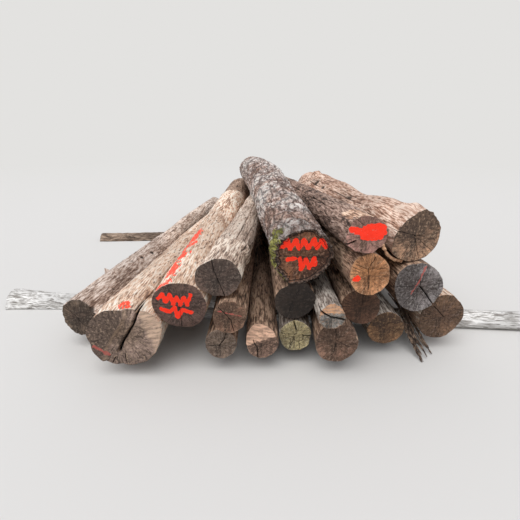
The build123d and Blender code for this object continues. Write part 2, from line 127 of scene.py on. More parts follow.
# %% [markdown]
# Wood and bark are never even. Blender's displacement could roughen them, but it
# knows no grain direction. All relief here comes from one noise instead: random
# heights on a lattice, blended smoothly. The lattice closes round the trunk, so
# no seam shows, and its cells can be long along the trunk, as fibres are.

# %% Noise on a trunk's skin
NOISE_ROWS = 509


def smooth(t):
    """Smooth step from 0 to 1: 3 t squared minus 2 t cubed."""
    t = np.clip(t, 0, 1)
    return t * t * (3 - 2 * t)


def noise(around, along, cells, spacing, seed):
    """Value noise from -1 to 1, with `cells` round the trunk and a row each `spacing` metres."""
    lattice = np.random.default_rng(seed).uniform(-1, 1, (NOISE_ROWS, cells))
    u = (around / (2 * pi)) % 1 * cells
    v = along / spacing + 200
    i, j = np.floor(u).astype(int), np.floor(v).astype(int)
    s, t = smooth(u - i), smooth(v - j)
    row, next_row = j % NOISE_ROWS, (j + 1) % NOISE_ROWS
    column, next_column = i % cells, (i + 1) % cells
    low = lattice[row, column] * (1 - s) + lattice[row, next_column] * s
    high = lattice[next_row, column] * (1 - s) + lattice[next_row, next_column] * s
    return low * (1 - t) + high * t


def turned(around, direction):
    """Angle from a direction in degrees to each point, wrapped to half a turn either way."""
    return (around - radians(direction) + pi) % (2 * pi) - pi


def gap_to_path(x, z, path):
    """Distance of points from a chain of straight runs: the least over the runs."""
    gap = np.full(np.shape(x), np.inf)
    for (x0, z0), (x1, z1) in zip(path[:-1], path[1:]):
        run = np.hypot(x1 - x0, z1 - z0) ** 2 + 1e-9
        share = np.clip(((x - x0) * (x1 - x0) + (z - z0) * (z1 - z0)) / run, 0, 1)
        gap = np.minimum(gap, np.hypot(x - x0 - share * (x1 - x0), z - z0 - share * (z1 - z0)))
    return gap


print("noise sample:", np.round(noise(np.array([0, 2 * pi]), np.array([.3, .3]), 12, .1, 1), 3))

# %% [markdown]
# The trunk's form is read from the construction model: planes across the trunk
# cut its mesh, and each cut gives a centre and a radius in every direction. The
# mesh itself could be subdivided, but its triangles are long and uneven. A field
# of radii keeps the trunk in its place and lets a much finer grid follow it.

# %% Read a trunk's form from the frame
FORM_STATIONS = 120
FORM_DIRECTIONS = np.linspace(0, 2 * pi, 96, endpoint=False)
END_SKIP = .012           # cuts stay this far inside the ends, in metres
OUTSIDE = .72             # cut points nearer than this share of the median lie inside a crack


@dataclass
class Form:
    """A trunk's own frame, its length, centre line and radius field."""
    front: np.ndarray
    right: np.ndarray
    axis: np.ndarray
    up: np.ndarray
    length: float
    stations: np.ndarray
    centres: np.ndarray
    radii: np.ndarray

    def place(self, x, y, z):
        """World points of local x (right), y (from the front end) and z (up)."""
        return self.front + x[..., None] * self.right + y[..., None] * self.axis + z[..., None] * self.up

    def middle(self, along):
        """Centre line at distances along: straight runs between the cuts."""
        return [np.interp(along, self.stations, self.centres[:, k]) for k in (0, 1)]

    def radius(self, around, along):
        """Radius field at grid points: linear between cuts and between directions."""
        place = np.clip(np.interp(along, self.stations, np.arange(len(self.stations))), 0, None)
        row = np.minimum(place.astype(int), len(self.stations) - 2)
        t = place - row
        turn = (around / (2 * pi)) % 1 * len(FORM_DIRECTIONS)
        column = turn.astype(int) % len(FORM_DIRECTIONS)
        s = turn - np.floor(turn)
        after = (column + 1) % len(FORM_DIRECTIONS)
        low = self.radii[row, column] * (1 - s) + self.radii[row, after] * s
        high = self.radii[row + 1, column] * (1 - s) + self.radii[row + 1, after] * s
        return low * (1 - t) + high * t


def mesh_arrays(node):
    """Corner points and edges of a node's mesh."""
    mesh = frame["nodes"][node].data
    points = np.empty(len(mesh.vertices) * 3, np.float32)
    mesh.vertices.foreach_get("co", points)
    edges = np.empty(len(mesh.edges) * 2, np.int32)
    mesh.edges.foreach_get("vertices", edges)
    return points.reshape(-1, 3).astype(float), edges.reshape(-1, 2)


def fill_notches(radii, reach=3):
    """Radii with narrow notches filled: the largest of the neighbours, then the least of those."""
    wide = np.max([np.roll(radii, step) for step in range(-reach, reach + 1)], axis=0)
    return np.min([np.roll(wide, step) for step in range(-reach, reach + 1)], axis=0)


def cut_outline(local, edges, distance):
    """Radius in each direction about the cut's centre, where a plane crosses the mesh."""
    a, b = local[edges[:, 0]], local[edges[:, 1]]
    before, behind = a[:, 1] - distance, b[:, 1] - distance
    crossing = before * behind < 0
    share = (before / (before - behind + 1e-12))[crossing, None]
    cut = (a[crossing] + (b[crossing] - a[crossing]) * share)[:, [0, 2]]
    centre = (cut.min(0) + cut.max(0)) / 2
    for _ in range(3):
        x, z = (cut - centre).T
        far = np.hypot(x, z)
        outer = far > OUTSIDE * np.median(far)
        turn = np.arctan2(z, x)[outer] % (2 * pi)
        order = np.argsort(turn)
        radii = np.interp(FORM_DIRECTIONS, turn[order], far[outer][order], period=2 * pi)
        radii = fill_notches(radii)
        across, upward = radii * np.cos(FORM_DIRECTIONS), radii * np.sin(FORM_DIRECTIONS)
        centre = centre + np.array([across.mean(), upward.mean()])
    return centre, radii


def end_normal(node, forward):
    """The direction that the flat front end faces: its polygons' mean normal, by area."""
    mesh = frame["nodes"][node].data
    normals, middles = np.empty((2, len(mesh.polygons) * 3), np.float32)
    areas = np.empty(len(mesh.polygons), np.float32)
    mesh.polygons.foreach_get("normal", normals)
    mesh.polygons.foreach_get("center", middles)
    mesh.polygons.foreach_get("area", areas)
    normals, middles = normals.reshape(-1, 3), middles.reshape(-1, 3)
    depth = middles @ forward
    flat = (normals @ forward < -.93) & (depth < depth.min() + .12)
    for _ in range(3):
        normal = (normals[flat] * areas[flat, None]).sum(0)
        normal = normal / np.linalg.norm(normal)
        flat = (normals @ normal > .9995) & (depth < depth.min() + .12)
    return normal, (middles[flat] * areas[flat, None]).sum(0) / areas[flat].sum()


def read_form(node, forward, skip=0, rear_skip=0):
    """A node's form: its axis is square to its flat front end."""
    points, edges = mesh_arrays(node)
    normal, front = end_normal(node, np.array(forward, float))
    axis = -normal
    right = np.cross(axis, (0, 0, 1))
    right = right / np.linalg.norm(right)
    up = np.cross(right, axis)
    front = front + axis * ((points - front) @ axis).min()
    local = (points - front) @ np.array([right, axis, up]).T
    length = local[:, 1].max()
    stations = np.linspace(END_SKIP + skip, length - END_SKIP - rear_skip, FORM_STATIONS)
    cuts = [cut_outline(local, edges, distance) for distance in stations]
    return Form(front, right, axis, up, length, stations,
                np.array([cut[0] for cut in cuts]), np.array([cut[1] for cut in cuts]))


sample = read_form("barked_top_log", (0, 1, 0))
print("barked top log:", round(sample.length, 3), "m long, radius", np.round(sample.radii.mean(), 3))

# %% [markdown]
# No two logs are alike, but they differ in the same few ways: how rough the wood
# or bark is, and what the sawn end shows. So each log is one row of a table, not
# code of its own. Cracks and paint lines on an end are chains of points in shares
# of its radius, right and up from its middle. Directions are degrees round the
# trunk, from its right side over its top. Paint marks are plain strokes and dots
# of a forester's spray can.

# %% What each log looks like


@dataclass
class Look:
    """The finish of one log. Lengths are metres, marks are shares of the end's radius."""
    trunk: str                        # material of its skin
    end: str                          # material of its sawn end
    slot: str
    around: int = 92                  # grid points round it
    along: int = 76                   # grid rows along it
    fibre: float = 2.0                # relief of bare wood, mm
    lumps: float = 3                  # slow swellings of the skin, mm
    bark: float = 0                   # relief of bark, mm
    bark_from: float = 0              # bark lies between these distances
    bark_to: float = 0
    bare_patch: tuple = ()            # (direction, width, to) where the bark has come off
    torn_patch: tuple = ()            # (direction, width, to, mm) of torn, splintered wood
    cracks: tuple = ()                # (path, width mm, depth mm) on the end
    checks: tuple = ()                # (direction, from, to, width mm, depth mm) along the trunk
    step: tuple = ()                  # (path of the step line, depth mm of the side right of it)
    bevel: tuple = ()                 # (direction, share where it starts, depth mm at the rim, torn)
    rear: tuple = ()                  # the same three numbers for each torn plane of the rear end
    ridges: float = 2                 # long swellings and hollows along the trunk, mm
    moss: tuple = ()                  # (direction, width, to)
    dark_sides: tuple = ()                # (direction, share where it starts, how dark) on the end
    rind: tuple = ()                  # (thickness mm, how far it stands proud of the face, mm)
    knots: tuple = ()                 # (distance, direction, height mm, spread mm)
    swells: tuple = ()                # the same for broad swellings and sunk places
    paint: tuple = ()                 # (path, width) fresh paint on the end
    faded: tuple = ()                 # (path, width) faded pink paint on the end
    line: tuple = ()                  # (direction, to direction, from, to, width mm) paint on the trunk
    dots: tuple = ()                  # (distance, direction, radius mm) paint on the trunk


LOOKS = {
    "big_left_log": Look("smooth_trunk_wood", "big_left_end", "debarked_log", 168, 200, lumps=5,
        torn_patch=(10, 95, .3, 4), ridges=5,
        cracks=((((.6, 1.0), (.31, .28), (-.04, -.25), (-.19, -.57)), 15, 60),
                (((.0, -.62), (.02, -.95)), 5, 14), (((-.3, -.75), (-.4, -.95)), 5, 14)),
        checks=((58, 0, 1.6, 9, 14), (118, .6, 3.5, 8, 8), (92, 1.0, 4.2, 7, 7)),
        bevel=(22, .68, 50, 1),
        step=(((.12, 1.3), (.08, .52), (-.21, .09), (-.53, -.39), (-.75, -1.3)), 24),
        dots=((.06, 86, 38), (.03, 76, 18)),
        faded=((((-.88, -.36), (-.64, -.5), (-.48, -.66)), .085),),
        dark_sides=((-100, .6, .5),),
        knots=((0, 196, -18, 30), (0, -95, -10, 30)), swells=((0, 82, -48, 110), (0, 128, -10, 60))),
    "far_left_log": Look("rotten_trunk_wood", "far_left_end", "debarked_log", 128, 220, lumps=6, ridges=5,
        bark=11, bark_from=-.2, bark_to=2.15, cracks=((((-.75, .55), (-.2, .1), (.2, -.5)), 5, 8),),
        bevel=(200, .5, 26, 0),
        knots=((0, 32, -26, 40), (0, 65, -14, 22), (0, -60, -8, 26), (1.18, 62, -36, 26),
               (1.42, 50, -34, 30), (1.0, 80, -20, 36), (.4, 40, -16, 44), (.7, 126, 44, 20)),
        dark_sides=((0, .1, .7),)),
    "left_cradled_log": Look("smooth_trunk_wood", "left_cradled_end", "debarked_log", 152, 200,
        lumps=6, ridges=3, bark=7, bark_from=3.2, bark_to=9,
        cracks=((((.0, -.05), (.02, -.95)), 4, 6), (((.3, -.5), (.62, -.8)), 4, 5)),
        checks=((100, .5, 3, 7, 7), (70, .6, 3.4, 7, 7)), bevel=(-70, .75, 14, 0),
        knots=((.7, 60, -9, 16), (1.1, 48, -8, 14)),
        paint=((((-.8, .28), (-.62, .46), (-.52, .14), (-.36, .44), (-.24, .06), (-.08, .36), (.02, .02),
                 (.18, .36), (.28, .04), (.44, .44)), .15),
               (((-.72, -.16), (-.4, -.28), (-.2, -.1), (-.12, -.48), (.08, -.18), (.42, -.28)), .16)),
        line=(129, 121, .0, 1.4, 112)),
    "bulged_log": Look("cream_trunk_wood", "bulged_end", "debarked_log", 144, 170, lumps=7,
        cracks=((((-.33, 1.02), (-.17, .28), (.05, -.3), (.3, -.95)), 5, 20),),
        checks=((70, .2, 2.4, 9, 9), (95, .1, 1.6, 8, 8), (40, .3, 3, 9, 9)), ridges=7,
        dark_sides=((90, .4, .5),)),
    "left_middle_log": Look("shaded_brown_trunk_wood", "left_middle_end", "debarked_log", 104, 70,
        cracks=((((-.8, .8), (-.3, .3), (.08, -.2), (.25, -.9)), 5, 16),),
        faded=((((-.66, .42), (.8, .07)), .06),),
        dark_sides=((150, .0, .6),),
        knots=((0, 140, -12, 26), (0, -20, -7, 26))),
    "left_floor_log": Look("shaded_brown_trunk_wood", "left_floor_end", "debarked_log", 104, 70,
        cracks=((((.4, 1.0), (.25, .35), (-.1, -.15)), 5, 18), (((-.1, -.15), (-.9, -.1)), 4, 8),
                (((-.1, -.15), (.5, -.4)), 3, 6)),
        dark_sides=((200, .3, .5),),
        knots=((0, 80, -8, 20), (0, -60, -8, 26))),
    "notched_floor_log": Look("shaded_brown_trunk_wood", "notched_floor_end", "debarked_log", 112, 80,
        bevel=(112, .12, 62, 1), cracks=((((-.55, .1), (-.3, -.35), (-.25, -1.0)), 6, 20),
                                      (((-.3, -.35), (.5, .0)), 3, 5), (((-.3, -.35), (-.85, -.25)), 3, 5)),
        knots=((0, -100, 8, 24), (0, 20, -9, 20))),
    "ring_shake_log": Look("grey_trunk_wood", "ring_shake_end", "debarked_log", 120, 70,
        cracks=((tuple((.21 + .31 * cos(t), -.09 + .31 * sin(t)) for t in np.linspace(1.9, 7.2, 12)), 4, 14),
                (((-.11, 1.0), (.06, .41)), 8, 24), (((.5, .0), (1.0, .02)), 9, 26),
                (((-.15, -.35), (-.4, -.9)), 4, 8), (((.25, -.5), (.35, -.9)), 4, 8),
                (((-.1, .1), (-.85, .2)), 3, 5)),
        dark_sides=((200, .5, .6),),
        knots=((0, -8, -16, 18), (0, 200, -6, 24))),
    "brown_floor_log": Look("shaded_brown_trunk_wood", "brown_floor_end", "debarked_log", 112, 80,
        bevel=(-30, .7, 14, 0),
        cracks=((((-.1, .7), (-.05, .1), (-.1, -.6)), 4, 6), (((-.05, .1), (.6, -.25)), 3, 5)),
        dark_sides=((120, .2, .7), (-60, .5, .6)),
        knots=((0, 15, -16, 22), (0, 70, -8, 30))),
    "grey_floor_log": Look("grey_trunk_wood", "grey_floor_end", "grey_weathered_log", 96, 76,
        cracks=((((-.2, .1), (.3, .4)), 4, 8),),
        dark_sides=((90, .25, .8), (-90, .5, .5)),
        knots=((0, 160, -10, 30), (0, 30, -7, 24))),
    "far_right_log": Look("smooth_trunk_wood", "far_right_end", "debarked_log", 112, 110,
        cracks=((((-.4, .5), (-.05, .15), (.13, -.05)), 5, 12), (((-.95, .1), (-.5, .1)), 3, 4)),
        checks=((80, .1, 2.2, 8, 9), (40, .5, 3.0, 8, 9)),
        dark_sides=((200, .3, .6), (20, .6, .5)),
        knots=((0, 165, -8, 30), (0, 50, -8, 30))),
    "split_grey_log": Look("grey_trunk_wood", "split_grey_end", "grey_weathered_log", 104, 70,
        bevel=(95, .3, 40, 1),
        cracks=((((-.85, .45), (-.5, .25), (-.1, .04), (.5, -.1), (.97, -.2)), 11, 45),),
        torn_patch=(95, 110, .08, 3),
        knots=((0, -50, -10, 26), (0, -140, -12, 26))),
    "dark_middle_log": Look("shaded_brown_trunk_wood", "dark_middle_end", "grey_weathered_log", 104, 70,
        cracks=((((-.1, .0), (.2, .6)), 3, 5), (((-.1, 0), (-.3, -.7)), 3, 5)),
        dark_sides=((0, .2, .8),),
        knots=((0, 55, 12, 30), (0, 120, -8, 30))),
    "brown_ring_log": Look("shaded_brown_trunk_wood", "brown_ring_end", "debarked_log", 96, 70,
        cracks=((((0, .1), (.1, .9)), 3, 5),)),
    "dark_right_log": Look("shaded_brown_trunk_wood", "dark_right_end", "debarked_log", 128, 100,
        cracks=((((.06, .03), (.3, -.25), (.72, -.8)), 9, 24), (((.06, .03), (-.85, .05)), 3, 5),
                (((.06, .03), (.0, .5)), 3, 5), (((.3, -.25), (.1, -.9)), 3, 5)),
        faded=((((.18, .88), (.0, .3), (-.27, -.27)), .06),),
        dark_sides=((170, .0, .7),),
        knots=((0, 100, -8, 20), (0, -30, -8, 24))),
    "orange_log": Look("shaded_brown_trunk_wood", "orange_end", "debarked_log", 120, 90,
        cracks=((((-.1, .25), (.2, .85)), 4, 8), (((-.1, .25), (-.02, -.9)), 4, 7),
                (((-.1, .25), (.8, .3)), 3, 5), (((-.1, .25), (-.7, .5)), 3, 5)),
        paint=((((-.66, -.22), (-.58, -.18)), .26),),
        knots=((0, 110, -7, 30), (0, 10, -6, 20))),
    "crooked_top_log": Look("orange_trunk_wood", "crooked_top_end", "debarked_log", 144, 200,
        lumps=10, ridges=6, rear=((60, -.4, 150), (200, -.2, 110)),
        cracks=((((-.85, .3), (-.1, .1), (.3, .05)), 4, 10), (((-.1, .1), (.2, -.9)), 4, 8),
                (((-.1, .1), (-.5, -.8)), 3, 6), (((-.1, .1), (.75, -.6)), 3, 6)),
        torn_patch=(66, 90, .3, 5), checks=((115, .3, 1.9, 9, 12), (140, .9, 3.1, 9, 10)),
        knots=((0, 150, -14, 24), (0, 20, 8, 30), (2.15, 130, -24, 32), (1.0, 118, -12, 34),
               (1.25, 128, -12, 40), (1.9, 138, -24, 34)),
        swells=((2.3, 103, 36, 240), (2.65, 92, 26, 140), (1.15, 95, -50, 330), (.2, 60, 26, 90)),
        dark_sides=((115, .1, .85), (-60, .75, .5))),
    "scribbled_log": Look("scribbled_trunk", "scribbled_end", "bark_covered_log", 128, 180, bark=10, lumps=5,
        bark_from=-1, bark_to=9, bare_patch=(82, 105, .32),
        cracks=((((-1.0, -.5), (-.6, -.3)), 9, 30), (((-.2, .5), (-.6, .8)), 3, 5)),
        checks=((112, .3, 2.3, 10, 16), (135, .5, 3.2, 10, 14), (90, .9, 3.5, 9, 12)),
        paint=((((-.8, .3), (-.5, .2), (-.1, .12), (.3, .08), (.84, .12)), .34),
               (((-.16, .28), (.2, .42), (.56, .42), (.82, .34)), .34),
               (((-.2, -.06), (.2, -.16), (.7, -.1)), .34)),
        dark_sides=((95, .45, .5),)),
    "barked_top_log": Look("rough_bark", "barked_top_end", "bark_covered_log", 192, 270, bark=15, lumps=8,
        bark_from=-1, bark_to=9, rind=(19, 14), moss=(200, 120, .3),
        swells=((1.1, 95, 14, 120), (2.2, 70, 16, 150)),
        cracks=((((-.15, .95), (-.12, .1), (.0, -.3)), 3, 5), (((-.9, .0), (.85, -.1)), 3, 5),
                (((.2, .1), (.6, .5)), 3, 5)),
        paint=((((-.78, .36), (-.6, .6), (-.5, .3), (-.3, .58), (-.18, .3), (.0, .6), (.14, .3), (.34, .6),
                 (.46, .3), (.62, .56), (.78, .3)), .17), (((-.56, -.12), (-.32, -.08)), .16),
               (((-.14, -.1), (-.06, -.5), (.08, -.14), (.22, -.46), (.38, -.12), (.42, -.34)), .16)),
        dark_sides=((-35, .35, .85), (170, .6, .5))),
}
print("logs with a look:", len(LOOKS))

# %% [markdown]
# A trunk's skin is a grid of directions and distances. An even grid would waste
# its points on the rear, so rows crowd together near the front end, where the eye
# is, and directions crowd where a crack opens, so a narrow crack has walls of its
# own. The sawn ends are rings that shrink to the middle.

# %% Grids for trunks and ends
END_RINGS = 38
REAR_RINGS = 5
CRACK_CROWD = 2.5         # how much denser directions are at a crack
MEAN_RADIUS = .17         # turns a skin angle into a width for checks and knots, in metres


def crowded_directions(count, places):
    """Directions spaced by an even share of a density that swells at the given angles."""
    fine = np.linspace(0, 2 * pi, 4000)
    density = np.ones_like(fine)
    for place in places:
        density = density + CRACK_CROWD * np.exp(-(turned(fine, place) / .12) ** 2)
    total = np.concatenate([[0], np.cumsum(density[1:] + density[:-1])])
    return np.interp(np.arange(count) / count, total / total[-1], fine)


def crack_angles(look):
    """Directions, in degrees, at which cracks reach the rim of the end."""
    ends = [path[k] for path, _, _ in look.cracks for k in (0, -1)]
    rim = [np.degrees(np.arctan2(z, x)) for x, z in ends if np.hypot(x, z) > .6]
    return rim + [check[0] for check in look.checks]


def crowded_rows(length, count):
    """Distances along the trunk that grow towards the rear: share to the power 1.45."""
    return length * np.linspace(0, 1, count) ** 1.45


print("rows of a 4 m log:", np.round(crowded_rows(4, 6), 2))

# %% [markdown]
# Bark, moss and torn wood cover only part of a trunk, and their edges are ragged.
# They could be painted by hand; here each is a smooth step over a distance or an
# angle, with noise added to it before the step, which frays the edge.

# %% What covers the skin
MOSS_CLUMP = 14 * MM


def patch_cover(patch, around, along, seed):
    """A patch near the front end: a sector of directions up to a distance, ragged."""
    direction, width, to = patch[:3]
    rag = .1 * noise(around, along, 11, .12, seed) + .06 * noise(around, along, 37, .04, seed + 1)
    side = smooth((radians(width) / 2 - np.abs(turned(around, direction)) + 2 * rag) / .12)
    return side * smooth((to - along + rag) / .05)


def bark_cover(look, around, along, seed):
    """How much of the skin is bark, 0 to 1, with a ragged edge."""
    if not look.bark:
        return np.zeros(np.shape(along))
    rag = .16 * noise(around, along, 9, .3, seed + 5) + .05 * noise(around, along, 30, .08, seed + 6)
    cover = smooth((along - look.bark_from + rag) / .03) * smooth((look.bark_to - along + rag) / .03)
    if look.bare_patch:
        cover = cover * (1 - patch_cover(look.bare_patch, around, along, seed + 9))
    return cover


def moss_cover(look, around, along, seed):
    """How much moss grows on the skin, 0 to 1."""
    if not look.moss:
        return np.zeros(np.shape(along))
    return patch_cover(look.moss, around, along, seed + 25)


def bell(along, around, place, direction, spread):
    """A bell curve of the distance on the skin from one place: 1 there, falling off over spread mm."""
    offset = np.hypot(along - place, turned(around, direction) * MEAN_RADIUS) / (spread * MM)
    return np.exp(-offset ** 2)


def broad_swell(look, around, along):
    """Broad swellings and sunk places in metres: the sum of their bell curves."""
    swell = np.zeros(np.shape(along))
    for place, direction, height, spread in look.swells:
        swell = swell + height * MM * bell(along, around, place, direction, spread)
    return swell


print("moss at the damp side:", moss_cover(LOOKS["barked_top_log"], np.full(1, 3.5), np.full(1, .1), 1))

# %% [markdown]
# What the hand would feel: lumps as wide as a palm, long ridges, fibres, scaly
# bark plates, drying checks and knots. Bump alone would leave the outline smooth,
# so all of it moves the mesh, each as a noise or a groove of its own real height.

# %% Relief of the skin


def skin_relief(look, around, along, seed):
    """Relief in metres, and where it is bark or torn: heights in mm times noises, added up."""
    lumps = noise(around, along, 5, .45, seed + 2) + .5 * noise(around, along, 11, .2, seed)
    fibre = noise(around, along, 33, .3, seed + 1) + .7 * noise(around, along, 71, .12, seed + 8)
    ridge = noise(around, along, 9, 1.1, seed + 21) + .6 * noise(around, along, 17, .6, seed + 22)
    relief = look.lumps * MM * lumps
    relief = relief + fibre * look.fibre * MM + ridge * look.ridges * MM
    cover = bark_cover(look, around, along, seed)
    plates = 1 - 2 * np.abs(noise(around, along, 29, .055, seed + 3))
    plates = plates + .8 * (1 - 2 * np.abs(noise(around, along, 53, .03, seed + 4)))
    plates = plates + .6 * noise(around, along, 97, .016, seed + 7)
    plates = plates + .7 * noise(around, along, 13, .1, seed + 13)
    relief = relief + cover * plates * .4 * look.bark * MM
    torn = np.zeros(np.shape(along))
    if look.torn_patch:
        torn = patch_cover(look.torn_patch, around, along, seed + 14)
        splinters = noise(around, along, 47, .09, seed + 15) + .7 * noise(around, along, 90, .05, seed + 16)
        relief = relief + torn * splinters * look.torn_patch[3] * MM
    for direction, start, finish, width, depth in look.checks:
        wander = .05 * noise(np.zeros_like(along), along, 3, .35, seed + int(direction))
        gap = (turned(around, direction) + wander) * MEAN_RADIUS / (width * MM / 2)
        reach = smooth((along - start + .02) / .02) * smooth((finish - along) / .6)
        relief = relief - depth * MM * np.exp(-gap ** 2) * reach
    if look.moss:
        clumps = .6 + noise(around, along, 61, .03, seed + 23)
        clumps = clumps + .6 * noise(around, along, 110, .014, seed + 24)
        relief = relief + moss_cover(look, around, along, seed) * clumps * MOSS_CLUMP
    for place, direction, height, spread in look.knots:
        relief = relief + height * MM * bell(along, around, place, direction, spread)
    return relief, cover, torn


ring = np.linspace(0, 2 * pi, 90)
relief = skin_relief(LOOKS["barked_top_log"], ring, np.full(90, 1.0), 1)[0]
print("relief round the bark, mm:", round(np.ptp(relief) * 1000, 1))

# %% [markdown]
# A chain saw leaves a nearly flat face. What breaks it up is deep: cracks that
# opened as the wood dried, a step where two cuts didn't meet, a bevel where the
# wood tore, and the rind of bark that stands proud. Booleans could cut them, but
# one depth for each point of the rings does it all and keeps the skin closed.

# %% The sawn face


def side_of_step(look, x, z, radius):
    """How far right of the step line a point lies: x less the line's x at the same height."""
    line = sorted((b * radius, a * radius) for a, b in look.step[0])
    return x - np.interp(z, [b for b, _ in line], [a for _, a in line])


def end_depth(look, x, z, share, radius, seed):
    """How deep the face lies, in metres, and how much of it is painted crack shade, rind and torn wood."""
    turn, reach = np.arctan2(z, x), np.hypot(x, z)
    depth = .9 * MM * noise(turn, reach, 23, .02, seed + 11)
    torn = np.zeros(np.shape(x))
    if look.bevel:
        direction, start, deep, splintered = look.bevel
        out = (x * cos(radians(direction)) + z * sin(radians(direction))) / radius
        depth = depth + deep * MM * np.maximum(out - start, 0) / (1 - start)
        torn = splintered * smooth((out - start + .08 * noise(turn, reach, 31, .03, seed + 26)) / .05)
        depth = depth + torn * 4 * MM * noise(turn, reach, 60, .04, seed + 27)
    if look.step:
        side = side_of_step(look, x, z, radius) + 9 * MM * noise(turn, reach, 17, .03, seed + 17)
        depth = depth + look.step[1] * MM * smooth(side / (7 * MM))
        torn = np.maximum(torn, .95 * np.exp(-((side - 7 * MM) / (8 * MM)) ** 2))
    crack_shade = np.zeros(np.shape(x))
    for path, width, deep in look.cracks:
        line = [(a * radius, b * radius) for a, b in path]
        wander = 2.5 * MM * noise(turn, reach, 31, .03, seed + 12)
        gap = gap_to_path(x + wander, z - wander, line) / (width * MM / 2)
        # painted shade: the face is drawn dark along each crack
        crack_shade = np.maximum(crack_shade, np.exp(-gap ** 2))
        depth = depth + deep * MM * np.exp(-gap ** 2)
    rind = np.zeros(np.shape(x))
    if look.rind:
        thick, proud = look.rind
        ragged = thick * MM / radius * (1 + .35 * noise(turn, reach * 0, 19, 1, seed + 18))
        rind = smooth((share - 1 + ragged) / .03 + .5)
        # painted shade: a dark line where the rind parts from the wood
        crack_shade = np.maximum(crack_shade, .8 * np.exp(-((share - .96 + ragged) / .028) ** 2))
        depth = depth * (1 - rind) + proud * MM * (1 - rind)
    return depth, crack_shade, rind, torn


def dark_sides_of_end(look, x, z, radius, seed):
    """Darker areas of the face: each covers the side of it that lies in one direction, and the part left of
    the felling step.
    """
    turn, reach = np.arctan2(z, x), np.hypot(x, z)
    ragged = .3 * noise(turn, reach, 9, .05, seed + 28) + .15 * noise(turn, reach, 29, .03, seed + 29)
    cover = np.zeros(np.shape(x))
    for direction, start, amount in look.dark_sides:
        out = (x * cos(radians(direction)) + z * sin(radians(direction))) / radius
        cover = np.maximum(cover, amount * smooth((out - start + ragged) / .35 + .5))
    # the face is darker left of the felling step
    if look.step:
        cover = np.maximum(cover, .85 * smooth(-side_of_step(look, x, z, radius) / (5 * MM)))
    return cover


def rear_reach(look, x, z, radius, length):
    """How far the log reaches at each point: its length, or less where its rear end is torn."""
    reach = np.full(np.shape(x), length)
    for direction, start, deep in look.rear:
        out = (x * cos(radians(direction)) + z * sin(radians(direction))) / radius
        reach = np.minimum(reach, length - deep * MM * np.maximum(out - start, 0) / (1 - start))
    return reach


face = end_depth(LOOKS["big_left_log"], np.array([-.1, .1]), np.zeros(2), np.full(2, .5), .2, 1)[0]
print("depth left and right of the felling step, mm:", np.round(face * 1000))

# %% [markdown]
# Foresters mark a log by spray can: strokes on its end and a line along its
# trunk. A picture could carry them, but then they would blur up close. A stroke
# is where the distance to a chain of points is less than half its width, with
# noise on the edge where the paint ran and on the line where the can skipped.

# %% Spray paint
END_SPRAY_EDGE = 6 * MM   # how far a stroke's edge fades
TRUNK_SPRAY_EDGE = 8 * MM


def marks_on_end(marks, x, z, radius, seed):
    """Paint cover of strokes: 1 inside, falling to 0 at a ragged edge."""
    cover = np.zeros(np.shape(x))
    turn, reach = np.arctan2(z, x), np.hypot(x, z)
    ragged = 5 * MM * noise(turn, reach, 31, .02, seed + 19)
    ragged = ragged + 3 * MM * noise(turn, reach, 67, .01, seed + 30)
    for path, width in marks:
        line = [(a * radius, b * radius) for a, b in path]
        gap = gap_to_path(x, z, line) - width * radius / 2 + ragged
        cover = np.maximum(cover, np.clip(.5 - gap / END_SPRAY_EDGE, 0, 1))
    return cover


def marks_on_trunk(look, around, along, base, seed):
    """Paint cover of the line, whose direction changes with the distance, and of the dots."""
    cover = np.zeros(along.shape)
    if look.line:
        start, finish, near, far, width = look.line
        share = np.clip((along - near) / (far - near), 0, 1)
        gap = np.abs(turned(around, 0) - radians(start) - radians(finish - start) * share) * base
        ragged = .95 + .6 * noise(around, along, 60, .035, seed + 8)
        ragged = ragged + .4 * noise(around, along, 3, .12, seed + 20)
        taper = .5 + .5 * smooth((far - along) / (far - near) * 2)
        skips = noise(around, along, 9, .07, seed + 34) + .5 * noise(around, along, 40, .03, seed + 35)
        on = smooth((along - near) / .02) * smooth((far - along) / .1) * smooth((skips + .55) / .25)
        cover = on * np.clip(.5 - (gap - width * MM * taper * ragged / 2) / TRUNK_SPRAY_EDGE, 0, 1)
    for distance, direction, size in look.dots:
        gap = np.hypot(along - distance, turned(around, direction) * base) - size * MM
        cover = np.maximum(cover, np.clip(.5 - gap / TRUNK_SPRAY_EDGE, 0, 1))
    return cover


dot = marks_on_end(LOOKS["orange_log"].paint, np.array([-.07, .07]), np.array([-.02, 0]), .11, 1)
print("paint on and beside the dot:", dot)
